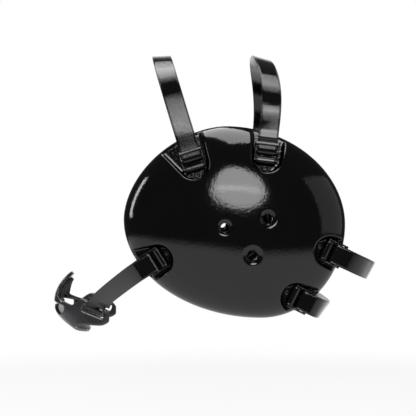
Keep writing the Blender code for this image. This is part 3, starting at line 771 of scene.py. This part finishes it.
def roundPocketEdges(x, y, z):
    # the skin turns into each pocket over one small radius
    radius, zone = guard["edgeRound"], guard["edgeZone"]
    for pocket in pockets.values():
        wall, way = pocket.distance(y, z)
        share = shareAt(y, z)
        below = guard["back"] + domeRise(share) - x
        turning = (wall < zone) & (below < zone) & (wall > -zone / 2) & (below > -zone / 2)
        turning &= (1 - share) * guard["halfHeight"] > zone
        gapWall, gapBelow = radius - wall, radius - below
        length = np.maximum(np.hypot(gapWall, gapBelow), tiny)
        newWall = np.where(gapWall <= 0, wall, radius - gapWall / length * radius)
        newBelow = np.where(gapBelow <= 0, below, radius - gapBelow / length * radius)
        shift = (np.where(gapBelow <= 0, 0, newWall) - wall) * turning
        y, z = y + way[:, 0] * shift, z + way[:, 1] * shift
        x = x + (below - np.where(gapWall <= 0, 0, newBelow)) * turning
    return x, y, z


def dishVents(x, y, z):
    # each vent sits in a shallow dish with no edge of its own
    surface = guard["back"] + domeRise(shareAt(y, z))
    for ventY, ventZ, size in ventPlaces():
        spread = np.hypot(y - ventY, z - ventZ) / (ventShape["dish"] * size)
        depth = ventShape["dishDepth"] * np.clip(1 - spread ** 2, 0, 1) ** 2
        x = x - depth * easeIn(x, surface - ventShape["dishFade"], surface - ventShape["dishFade"] / 2)
    return x, y, z


def makeGuards():
    shell = makeDome(guard["segments"], guard["rings"], outlineAt,
                     lambda share: guard["back"] + domeRise(share))
    cutWith(shell, guardCutters())
    print("  guard cut:", len(shell.data.polygons), "faces")
    remesh(shell, guard["voxel"], guard["skinRounds"])
    places = readPoints(shell).T
    for reshape in (ontoDome, roundPocketEdges, dishVents):
        places = reshape(*places)
    writePoints(shell, np.stack(places, axis=1))
    smoothShade(shell)
    finishPair(shell, "ear_guard", dippedVinyl, "guards", "guard_shell")


makeGuards()
print("ear guards ready")


# Long pieces that are a section carried along a path

def makeTube(sectionCount, ringCount):
    # a closed tube with ringCount even rings; its points are then moved to where they belong
    bpy.ops.mesh.primitive_circle_add(vertices=sectionCount, radius=1.0, fill_type="NGON")
    item = bpy.context.object
    extrude(item, (0, 0, ringCount - 1))
    points = item.data.vertices

    def alongAxis(edge):
        low, high = (points[at].co.z for at in edge.vertices)
        return abs(high - low) > 0.5

    def addRings():
        bpy.ops.mesh.subdivide(number_cuts=ringCount - 2)
        bpy.ops.mesh.select_all(action="SELECT")
        bpy.ops.mesh.normals_make_consistent(inside=False)

    editPart(item, "edges", alongAxis, addRings)
    places = readPoints(item)
    ring = np.rint(places[:, 2]).astype(int)
    turn = np.arctan2(places[:, 1], places[:, 0]) / (2 * math.pi) * sectionCount
    return item, ring, np.rint(turn).astype(int) % sectionCount


def turnedPiece(profile, steps, place):
    # profile is (radius, height) from the low end to the high end, turned round an axis along x
    item, ring, section = makeTube(steps, len(profile))
    radius, height = np.array(profile)[ring].T
    turn = section / steps * 2 * math.pi
    writePoints(item, np.stack((height + place[0], place[1] + radius * np.cos(turn),
                                place[2] + radius * np.sin(turn)), axis=1))
    faceOut(item)
    return item


webbing = {
    "width": 0.015,
    "thick": 0.0013,
    # one quarter of the section: across and through as shares, a bead and a groove, then flat
    "quarter": ((0.99, 0.5), (0.965, 0.86), (0.935, 0.98), (0.91, 1.0), (0.885, 0.97), (0.87, 0.90),
                (0.85, 0.90), (0.835, 0.97), (0.815, 1.0), (0.78, 1.0), (0.40, 1.0)),
    "foldSteps": 18,
    "sharp": 50,
}
spacing = {"fine": 0.0005, "fold": 0.0008, "run": 0.0010}    # between two rings of webbing


def webbingSection():
    right = [(1.0, 0.0)] + list(webbing["quarter"]) + [(0.0, 1.0)]
    left = [(-across, through) for across, through in right[-2:0:-1]] + [(-1.0, 0.0)]
    low = [(across, -through) for across, through in left[-2::-1]]
    low += [(0.0, -1.0)] + [(across, -through) for across, through in right[-2:0:-1]]
    return np.array(right + left + low) / 2


def makeWebbing(path, sides, widths=None):
    # a flat strip of webbing laid along the path, its UV kept in metres from when it was flat
    path, sides = np.array(path), np.array(sides)
    shape = webbingSection()
    if widths is None:
        widths = np.full(len(path), webbing["width"])
    item, ring, section = makeTube(len(shape), len(path))
    steps = np.linalg.norm(np.diff(path, axis=0), axis=1)
    length = np.concatenate(([0], np.cumsum(steps)))
    across = shape[section, 0] * np.array(widths)[ring]
    through = shape[section, 1] * webbing["thick"]
    flat = np.stack((length[ring], across), axis=1)
    run = np.gradient(path, length, axis=0)
    run /= np.linalg.norm(run, axis=1, keepdims=True)
    sides = sides - np.sum(sides * run, axis=1, keepdims=True) * run
    sides /= np.linalg.norm(sides, axis=1, keepdims=True)
    face = np.cross(run, sides)
    writePoints(item, path[ring] + sides[ring] * across[:, None] + face[ring] * through[:, None])
    layer = item.data.uv_layers.new(name="strip")
    corners = np.zeros(len(item.data.loops), dtype=int)
    item.data.loops.foreach_get("vertex_index", corners)
    layer.data.foreach_set("uv", flat[corners].ravel())
    faceOut(item)
    smoothShade(item, webbing["sharp"])
    return item


def joined(*parts):
    # straight pieces between corner places, and whole arrays of places, as one path
    return np.concatenate([np.atleast_2d(part) for part in parts])


def straight(one, two, step=spacing["run"]):
    count = max(2, int(np.linalg.norm(np.array(two) - np.array(one)) / step))
    return np.linspace(one, two, count + 1)[1:]


# Ladder-lock buckles, tabs and rivets

buckle = {
    "bar": 0.0024,
    "thick": 0.0022,
    "tabWindow": 0.0050,
    "strapWindow": 0.0032,
    "rail": 0.0014,
    "sideGap": 0.0003,
    "baseBarBack": 0.0026,
    "round": 0.00075,
    "roundSteps": 3,
    "sharp": 40,
    "grip": 0.00010,
    "gripCuts": 13,
    "railCuts": 3,
}
loopGap = 0.00035
loopSlack = 0.1                    # share of the webbing's thickness
fitGap = 0.0003
touch = 1e-6                       # within this, a point is on the line that it is tested against
loopRadius = buckle["thick"] / 2 + loopGap + webbing["thick"] / 2
lowLeg = pocketBase + fitGap + webbing["thick"] / 2
buckleLevel = lowLeg + loopRadius
highLeg = buckleLevel + loopRadius
loopShift = loopGap + webbing["thick"] * loopSlack
baseBar = -buckle["baseBarBack"]
middleBar = baseBar + buckle["bar"] + buckle["tabWindow"]
frontBar = middleBar + buckle["bar"] + buckle["strapWindow"]


def loopTurn(pocket, bar, towards):
    # half a turn of webbing round a bar, from the low leg to the high one
    turn = np.linspace(-math.pi / 2, math.pi / 2, webbing["foldSteps"])
    along = bar + towards * (loopShift + loopRadius * np.cos(turn))
    return np.array([pocket.fit(buckleLevel + loopRadius * math.sin(t), a) for t, a in zip(turn, along)])


def makeBuckle(name):
    # a flat ladder of bars and rails, gripping teeth along the rails, then its thickness
    bar = buckle["bar"] / 2
    inner = webbing["width"] / 2 + buckle["sideGap"]
    outer = inner + buckle["rail"]
    rows = np.array([middle + way * bar for middle in (baseBar, middleBar, frontBar) for way in (-1, 1)])
    columns = np.array((-outer, -inner, inner, outer))
    item, row, column = makeGrid(len(rows), len(columns))
    writePoints(item, np.stack((np.zeros(len(row)), rows[row], columns[column]), axis=1))
    windows = (rows[1:3], rows[3:5])

    def inWindow(face):
        return abs(face.center.z) < inner and any(low < face.center.y < high for low, high in windows)

    editPart(item, "polygons", inWindow, bpy.ops.mesh.delete, type="FACE")
    points = item.data.vertices

    def onOutside(edge):
        return all(abs(points[at].co.z) > outer - touch for at in edge.vertices)

    editPart(item, "edges", onOutside, bpy.ops.mesh.subdivide, number_cuts=buckle["railCuts"])
    places = readPoints(item)
    onRail = np.abs(places[:, 2]) > outer - touch
    tooth = np.cos(places[:, 1] / (rows[-1] - rows[0]) * buckle["gripCuts"] * math.pi)
    places[:, 2] -= np.sign(places[:, 2]) * onRail * buckle["grip"] * (1 + tooth) / 2
    writePoints(item, places)
    addModifier(item, "SOLIDIFY", thickness=buckle["thick"], offset=0.0)
    addModifier(item, "BEVEL", width=buckle["round"], segments=buckle["roundSteps"], limit_method="ANGLE",
                angle_limit=math.radians(buckle["sharp"]))
    applyAll(item)
    item.matrix_world = pockets[name].matrix(buckleLevel)
    applyPlace(item)
    smoothShade(item, buckle["sharp"])
    finishPair(item, name + "_buckle_visual", mouldedNylon, strapBody(name), name + "_buckle")


def strapBody(name):
    return name + "_strap"


tab = {"endWidth": 0.0050, "endBack": 0.0028}


def makeTab(name):
    # from its end on the rivet out to the base bar, round it, back over itself and tucked in
    pocket = pockets[name]
    end = -rivet["back"] - tab["endBack"]
    waist = -rivet["back"] + rivet["headRadius"]
    foldEnd = baseBar - buckle["bar"] / 2 - loopGap
    turn = loopTurn(pocket, baseBar, 1)
    first, middle, last = (pocket.fit(lowLeg, along) for along in (end, -rivet["back"], waist))
    top = pocket.fit(highLeg, foldEnd)
    tuck = pocket.fit(lowLeg + webbing["thick"] + loopRadius / 2, foldEnd - webbing["thick"])
    path = joined(first, straight(first, middle, spacing["fine"]), straight(middle, last, spacing["fine"]),
                  straight(last, turn[0], spacing["fold"]), turn[1:],
                  straight(turn[-1], top, spacing["fold"]), straight(top, tuck, spacing["fine"]))
    along = (path - pocket.centre) @ pocket.out
    width = np.interp(along, (end, -rivet["back"], waist),
                      (tab["endWidth"], (tab["endWidth"] + webbing["width"]) / 2, webbing["width"]))
    item = makeWebbing(path, [pocket.across] * len(path), width)
    y, z = pocket.fit(0, -rivet["back"])[1:]
    cutWith(item, [roundCutter(rivet["shankRadius"] + rivet["hole"], lowLeg - webbing["thick"],
                               lowLeg + webbing["thick"], y, z)])
    smoothShade(item, webbing["sharp"])
    finishPair(item, name + "_tab_visual", coatedWebbing, strapBody(name), name + "_tab")


def makeRivet(name):
    # a tubular rivet: a flat foot inside, a rolled and dimpled head over the tab
    low = guard["back"] + fitGap
    high = pocketBase + 2 * fitGap + webbing["thick"]
    foot, footHeight, shank = rivet["footRadius"], rivet["footHeight"], rivet["shankRadius"]
    head, headHeight, eyelet = rivet["headRadius"], rivet["headHeight"], rivet["eyelet"]
    crown = [(rivet["crownFlat"] + (1 - rivet["crownFlat"]) * math.cos(turn),
              rivet["crownLow"] + rivet["crownRise"] * math.sin(turn))
             for turn in np.linspace(0, math.pi / 2, rivet["crownSteps"])]
    profile = [(foot * across, low + footHeight * up) for across, up in rivet["footShares"]]
    profile += [(shank, low + footHeight), (shank, high)]
    profile += [(head * across, high + headHeight * up) for across, up in [*rivet["rollShares"], *crown]]
    profile += [(eyelet * across, high + headHeight * up) for across, up in rivet["dimpleShares"]]
    item = turnedPiece(profile, rivet["sides"], pockets[name].fit(0, -rivet["back"]))
    smoothShade(item, rivet["sharp"])
    finishPair(item, name + "_rivet_visual", lacqueredSteel, "guards", name + "_rivet")


for pocketName in pocketTable:
    makeBuckle(pocketName)
    makeTab(pocketName)
    makeRivet(pocketName)
print("buckles, tabs and rivets ready")


# Head straps

# reach, drift and roll at the middle of the arch, lean in over the pad, bulge between buckle and
# rim, pulling leg over the buckle, tail after the fold
headStraps = {
    "front_crown": (0.0935, -0.0005, -15.0, 0.07, 0.0, False, 0.0021),
    "rear_crown": (0.0820, 0.0118, -9.0, 0.0, 0.0011, False, 0.0021),
    "upper_rear": (0.0422, 0.0007, -3.6, 0.0, 0.0, False, 0.0095),
    "lower_rear": (0.0283, 0.0010, -16.5, 0.0, 0.0, True, 0.0075),
}
# how far each crown strap lies outside its plain arch, against the way up from the guard's rim
strapLie = {
    "front_crown": ((-0.020, -0.012, 0.0, 0.010, 0.020, 0.028, 0.036, 0.044, 0.062),
                    (0.0, 0.0, 0.0006, 0.0003, 0.0006, 0.0015, 0.0031, 0.0040, 0.0)),
    "rear_crown": ((-0.012, -0.002, 0.004, 0.014, 0.022, 0.034, 0.050),
                   (0.0, 0.0, 0.0004, 0.0015, 0.0015, 0.0010, 0.0)),
}
# and how far it turns towards the back there, in degrees
strapTurn = {"front_crown": 4.0, "rear_crown": 3.0}
strapShape = {
    "mouthMargin": 0.0030,
    "mouthSteps": 24,
    "bulgeRun": 0.0020,
    "bulgeFall": 1.3,
    "archSteps": 90,
    "archFullness": 0.80,
    "lieRounds": 12,               # smoothing rounds on strapLie
    "turnIn": (-0.004, 0.008),     # strapTurn comes in and goes out over these heights
    "turnOut": (0.030, 0.055),
}


def strapEnd(pocket, over, tail, bulge):
    # from the tail, round the middle bar, to just outside the guard's rim
    turn = loopTurn(pocket, middleBar, -1)
    tailLevel, pullLevel = (lowLeg, highLeg) if over else (highLeg, lowLeg)
    if not over:
        turn = turn[::-1]
    begin = pocket.fit(tailLevel, middleBar + tail)
    foot, mouth = frontBar + buckle["bar"], pocket.mouth() + strapShape["mouthMargin"]
    crest = foot + strapShape["bulgeRun"]
    along = np.linspace(foot, mouth, strapShape["mouthSteps"])
    down = np.clip((along - crest) / (mouth - crest), 0, 1)
    hump = easeIn(along, foot, crest) * (1 - down) ** strapShape["bulgeFall"]
    last = np.array([pocket.fit(pullLevel + bulge * h, a) for h, a in zip(hump, along)])
    path = joined(begin, straight(begin, turn[0], spacing["fold"]), turn[1:],
                  straight(turn[-1], last[0]), last[1:])
    return path, pullLevel


def layOver(name, half, sides, up, free):
    # sets the free part of a crown strap to its lie and its turn
    places, lifts = strapLie[name]
    lift = np.interp(up, places, lifts)
    for _ in range(strapShape["lieRounds"]):
        lift[1:-1] = (lift[:-2] + 2 * lift[1:-1] + lift[2:]) / 4
    half[:, 0] += lift * free * (up > places[0])
    turned = easeIn(up, *strapShape["turnIn"]) * (1 - easeIn(up, *strapShape["turnOut"]))
    sides[:, 0] -= np.sin(math.radians(strapTurn[name])) * turned * np.sign(sides[:, 1])


def makeHeadStrap(name, reach, drift, roll, lean, bulge, over, tail):
    pocket = pockets[name]
    end, level = strapEnd(pocket, over, tail, bulge)
    start = pocket.mouth() + strapShape["mouthMargin"]
    turn = np.linspace(0, math.pi / 2, strapShape["archSteps"])[1:]
    rise = np.sin(turn) ** strapShape["archFullness"]
    out = level * (np.maximum(np.cos(turn), 0) ** strapShape["archFullness"] - lean * rise * (1 - rise))
    out[-1] = 0
    along = start + (reach - start) * rise
    settled = np.sin(turn) ** 2
    arch = np.array([pocket.fit(o, a, drift * s) for o, a, s in zip(out, along, settled)])
    archSides = [Matrix.Rotation(math.radians(roll) * s, 3, "X") @ Vector(pocket.across) for s in settled]
    half = joined(end, arch)
    halfSides = np.array([pocket.across] * len(end) + [tuple(side) for side in archSides])
    if name in strapLie:
        free = np.arange(len(half)) >= len(end) - strapShape["mouthSteps"]
        layOver(name, half, halfSides, (half - pocket.fit(0, start)) @ pocket.out, free)
    path = joined(half, half[-2::-1] * (-1, 1, 1))
    sides = joined(halfSides, halfSides[-2::-1])
    item = makeWebbing(path, sides)
    finishPiece(item, name + "_webbing", coatedWebbing, strapBody(name), [name + "_strap"])


for strapName, numbers in headStraps.items():
    makeHeadStrap(strapName, *numbers)
print("head straps ready")


# Chin straps and chin cup

cup = {
    "halfWidth": 0.038,
    "front": 0.1435,
    "level": 0.0655,
    "halfHeight": 0.0235,
    "tabHalfHeight": 0.0068,
    "wall": 0.0030,
    "topCurl": 0.0130,
    "bottomCurl": 0.0270,
    "gapHalfWidth": 0.036,
    "gapHalfHeight": 0.0017,
    "gapLevel": 0.0657,
    "tongueHalfWidth": 0.026,
    "slotForward": 0.1096,
    "slotLevel": 0.0690,
    "slotHeight": 0.0048,
    "slotSideGap": 0.0016,
    "bendFromSlot": 0.0084,
    "endFromSlot": 0.0116,
    "slotTilt": 22.0,
    "bend": 0.66,                  # the next ones are shares
    "blunt": 0.67,
    "sideTurn": 3,
    "tongueSquare": 2.0,
    "curlLate": 2.2,
    "tabRoundStart": 0.86,
    "tabRoundClose": 0.8,
    "dip": 0.85,                   # the upper arm thins before the tab
    "dipAt": 0.57,
    "dipFore": 0.36,
    "dipRear": 0.09,
    "slingFall": 1.3,
    "gapFall": 0.19,
    "gapDeep": 9.0,
    "runSteps": 145,
    "heightSteps": 41,
    "gapSteps": 96,
    "voxel": 0.0006,
    "smoothRounds": 8,
    "overrun": 0.010,
}
liner = {
    "thick": 0.0030,
    "low": 0.26,                   # shares of the upper band's height, and of the cup's run
    "high": 0.90,
    "run": 1 / 3,
    "runSteps": 61,
    "heightSteps": 19,
    "voxel": 0.0008,
    "smoothRounds": 6,
}
cupSideStart = cup["slotForward"] + cup["bendFromSlot"]
cupSideEnd = cup["slotForward"] - cup["endFromSlot"]
chinStrap = {
    "lead": 0.006,
    "arrive": 0.006,
    "foldTail": 0.0075,
    "lap": 0.0030,
    "cupTail": 0.0065,
    "runSteps": 80,
    "foldSteps": 24,
}
tilt = math.radians(cup["slotTilt"])
slotWay = np.array((0, math.cos(tilt), -math.sin(tilt)))
slotUp = np.array((0, math.sin(tilt), math.cos(tilt)))


def makeChinStraps():
    # from the buckle on one curve to the slot in the cup's tab, round the bar there and back inside
    pocket = pockets["chin"]
    path = strapEnd(pocket, True, chinStrap["foldTail"], 0.0)[0]
    sides = np.array([pocket.across] * len(path))
    barEdge = np.array((cup["halfWidth"], -cup["slotForward"], -cup["slotLevel"]))
    radius = cup["wall"] / 2 + loopGap + webbing["thick"] / 2
    outward = np.array((1.0, 0, 0))
    begin = path[-1]
    finish = barEdge + outward * radius + slotUp * chinStrap["lap"]
    lead = begin + pocket.out * chinStrap["lead"]
    lean = slotUp + (begin - finish) / np.linalg.norm(begin - finish)
    arrive = finish + lean / np.linalg.norm(lean) * chinStrap["arrive"]
    share = np.linspace(0, 1, chinStrap["runSteps"])[1:, None]
    rest = 1 - share
    curve = begin * rest ** 3 + lead * 3 * rest ** 2 * share
    curve = curve + arrive * 3 * rest * share ** 2 + finish * share ** 3
    curveSides = pocket.across * rest + slotWay * share
    turn = np.linspace(0, math.pi, chinStrap["foldSteps"])[:, None]
    middle = barEdge - slotUp * loopShift
    fold = middle + outward * radius * np.cos(turn) - slotUp * radius * np.sin(turn)
    last = barEdge - outward * radius + slotUp * chinStrap["cupTail"]
    full = joined(path, curve, straight(curve[-1], fold[0]), fold[1:], straight(fold[-1], last))
    rest = np.array([slotWay] * (len(full) - len(path) - len(curve)))
    item = makeWebbing(full, joined(sides, curveSides, rest))
    finishPair(item, "chin_webbing", coatedWebbing, "chin_strap", "chin_strap")


def cupPoint(run, height):
    # run goes round the cup from tab to tab, height from the lowest edge to the highest, both -1 to 1
    size = abs(run)
    turn = min(size / cup["bend"], 1.0) * math.pi / 2
    bent = size < cup["bend"]
    front = math.cos(turn) ** cup["blunt"] if bent else 0.0
    wide = cup["halfWidth"] * math.sin(turn) ** cup["blunt"]
    backShare = max(0.0, size - cup["bend"]) / (1 - cup["bend"])
    plan = np.array((wide, backShare * (cupSideStart - cupSideEnd) - cupSideStart
                     - (cup["front"] - cupSideStart) * front, 0))
    inward = np.array((-math.sin(turn) ** cup["sideTurn"], math.cos(turn), 0))
    inward /= np.linalg.norm(inward)
    slope = slotWay[2] / slotWay[1]
    middle = -cup["slotLevel"] - cup["slotHeight"] / 2
    tabLevel = middle + slope * (plan[1] + cup["slotForward"])
    startLevel = middle + slope * (cup["slotForward"] - cupSideStart)
    level = startLevel + (-cup["level"] - startLevel) * front if bent else tabLevel
    extra = cup["halfHeight"] - cup["tabHalfHeight"]
    if height > 0:
        shoulder = max(0.0, 1 - (wide / cup["tongueHalfWidth"]) ** cup["tongueSquare"])
        dipReach = cup["dipFore"] if size < cup["dipAt"] else cup["dipRear"]
        dip = max(0.0, 1 - abs(size - cup["dipAt"]) / dipReach)
        half = cup["tabHalfHeight"] * (1 - cup["dip"] * dip) + extra * math.sqrt(shoulder)
        curl = cup["topCurl"]
    else:
        half = cup["tabHalfHeight"] + extra * (1 - size ** cup["slingFall"])
        curl = cup["bottomCurl"]
        inward = np.array((0.0, 1.0, 0.0))
    end = max(0.0, (size - cup["tabRoundStart"]) / (1 - cup["tabRoundStart"]))
    half *= math.sqrt(1 - cup["tabRoundClose"] * end ** 2)
    drop = half * height
    spot = plan + inward * curl * front * abs(drop / cup["halfHeight"]) ** cup["curlLate"]
    spot[2] = level + drop
    spot[0] = math.copysign(max(spot[0], 0.0), run)
    return spot


def cupSheet(shape, run, low, high, inward, thick):
    # a sheet on the cup's form, set inwards, then given its thickness
    runs = np.linspace(-run, run, shape["runSteps"])
    heights = np.linspace(low, high, shape["heightSteps"])
    item, row, column = makeGrid(len(runs), len(heights))
    writePoints(item, np.array([cupPoint(runs[r], heights[c]) for r, c in zip(row, column)]))
    normals = np.array([tuple(vertex.normal) for vertex in item.data.vertices])
    normals *= np.sign(np.sum(normals * readPoints(item) * (1, 1, 0), axis=1))[:, None]
    writePoints(item, readPoints(item) - normals * inward)
    addModifier(item, "SOLIDIFY", thickness=thick, offset=0.0, use_even_offset=True)
    applyAll(item)
    faceOut(item)
    return item


def gapCutter():
    # the gap between the bands is a crescent, cut back and a little down
    turn = np.linspace(0, 2 * math.pi, cup["gapSteps"] + 1)[:-1]
    rise = cup["gapHalfHeight"] * np.sin(turn)
    rise *= np.where(rise < 0, 1 + cup["gapDeep"] * np.cos(turn) ** 2, 1)
    level = cup["gapFall"] * cup["overrun"] - cup["gapLevel"]
    front = np.full(len(turn), -cup["front"] - cup["overrun"])
    bpy.ops.mesh.primitive_circle_add(vertices=len(turn), radius=1.0, fill_type="NGON")
    item = bpy.context.object
    writePoints(item, np.column_stack((cup["gapHalfWidth"] * np.cos(turn), front, level + rise)))
    deep = cup["front"] - cupSideEnd + cup["overrun"]
    extrude(item, (0, deep, -deep * cup["gapFall"]))
    faceOut(item)
    return item


def slotCutter(way):
    place = np.array((way * cup["halfWidth"], -cup["slotForward"], -cup["slotLevel"]))
    place -= slotUp * cup["slotHeight"] / 2
    bpy.ops.mesh.primitive_cube_add(size=1)
    item = bpy.context.object
    turned = Matrix((Vector((1, 0, 0)), Vector(slotWay), Vector(slotUp))).transposed().to_4x4()
    wide = webbing["width"] + 2 * cup["slotSideGap"]
    size = Matrix.Diagonal((cup["wall"] + cup["overrun"], wide, cup["slotHeight"], 1))
    item.matrix_world = Matrix.Translation(Vector(place)) @ turned @ size
    applyPlace(item)
    return item


def makeChinCup():
    item = cupSheet(cup, 1, -1, 1, 0.0, cup["wall"])
    cutWith(item, [gapCutter(), slotCutter(1), slotCutter(-1)])
    remesh(item, cup["voxel"], cup["smoothRounds"])
    smoothShade(item)
    finishPiece(item, "chin_cup_moulding", mouldedRubber, "chin_cup", ["chin_cup"])


def makeLiner():
    inward = cup["wall"] / 2 + fitGap + liner["thick"] / 2
    item = cupSheet(liner, liner["run"], liner["low"], liner["high"], inward, liner["thick"])
    remesh(item, liner["voxel"], liner["smoothRounds"])
    smoothShade(item)
    finishPiece(item, "chin_cup_foam", pressedFoam, "chin_cup", ["chin_cup_liner"])


makeChinStraps()
makeChinCup()
makeLiner()
print("chin straps and cup ready")


# Ear pads

earPad = {
    "thick": 0.0090,
    "inset": 0.0020,
    "openingExtra": 0.0030,
    # the section: across from the outer edge inwards, and depth, as shares
    "section": ((0.03, 0.0), (0.0, 0.30), (0.02, 0.66), (0.08, 0.90), (0.20, 1.0),
                (0.80, 1.0), (0.92, 0.90), (0.98, 0.66), (1.0, 0.30), (0.97, 0.0)),
    "steps": 96,
    "startTube": 0.25,
    "voxel": 0.00225,
    "smoothRounds": 3,
    "pressure": 4.0,
    "stiffness": 40.0,
    "frames": 20,
    "moveCap": 0.0008,
}


def makePadRing():
    # a ring pressed to the guard's outline outside and to the ear's opening inside
    steps, section = earPad["steps"], np.array(earPad["section"])
    bpy.ops.mesh.primitive_torus_add(major_segments=steps, minor_segments=len(section),
                                     major_radius=1.0, minor_radius=earPad["startTube"])
    item = bpy.context.object
    x, y, z = readPoints(item).T
    major = np.rint(np.arctan2(y, x) / (2 * math.pi) * steps).astype(int) % steps
    minor = np.arctan2(z, np.hypot(x, y) - 1.0) / (2 * math.pi) * len(section)
    minor = np.rint(minor).astype(int) % len(section)
    turn = np.linspace(0, 2 * math.pi, steps + 1)[:-1]
    outer = np.stack(outlineAt(turn), axis=1) * (1 - earPad["inset"] / guard["halfHeight"])
    aim = np.arctan2(outer[:, 1], outer[:, 0])
    innerLength = guard["earHalfLength"] + earPad["openingExtra"]
    innerHeight = guard["earHalfHeight"] + earPad["openingExtra"]
    size = 1 / np.hypot(np.cos(aim) / innerLength, np.sin(aim) / innerHeight)
    inner = np.stack((size * np.cos(aim), size * np.sin(aim)), axis=1)
    share, depth = section[minor].T
    flat = outer[major] + (inner - outer)[major] * share[:, None]
    writePoints(item, np.column_stack((guard["back"] - fitGap - depth * earPad["thick"], flat)))
    faceOut(item)
    return item


def puff(item):
    # a short cloth run under pressure, with a cap on how far a point may move
    start = readPoints(item)
    cloth = addModifier(item, "CLOTH")
    cloth.settings.use_pressure = True
    cloth.settings.uniform_pressure_force = earPad["pressure"]
    cloth.settings.effector_weights.gravity = 0.0
    cloth.settings.tension_stiffness = earPad["stiffness"]
    cloth.settings.compression_stiffness = earPad["stiffness"]
    cloth.point_cache.frame_start = 1
    cloth.point_cache.frame_end = earPad["frames"]
    for frameNumber in range(1, earPad["frames"] + 1):
        bpy.context.scene.frame_set(frameNumber)
    applyAll(item)
    bpy.context.scene.frame_set(1)
    moved = readPoints(item) - start
    distance = np.linalg.norm(moved, axis=1, keepdims=True)
    writePoints(item, start + moved * np.minimum(1, earPad["moveCap"] / np.maximum(distance, tiny)))


def makeEarPads():
    # a foam ring behind each guard
    back = guard["back"] - fitGap
    item = makePadRing()
    remesh(item, earPad["voxel"], earPad["smoothRounds"])
    puff(item)
    points = readPoints(item)
    points[:, 0] = np.clip(points[:, 0], back - earPad["thick"], back)
    writePoints(item, points)
    addModifier(item, "SUBSURF", levels=1)
    applyAll(item)
    smoothShade(item)
    twins = finishPair(item, "ear_pad_foam", pressedFoam, "guards", "ear_pad")


makeEarPads()
print("ear pads ready")
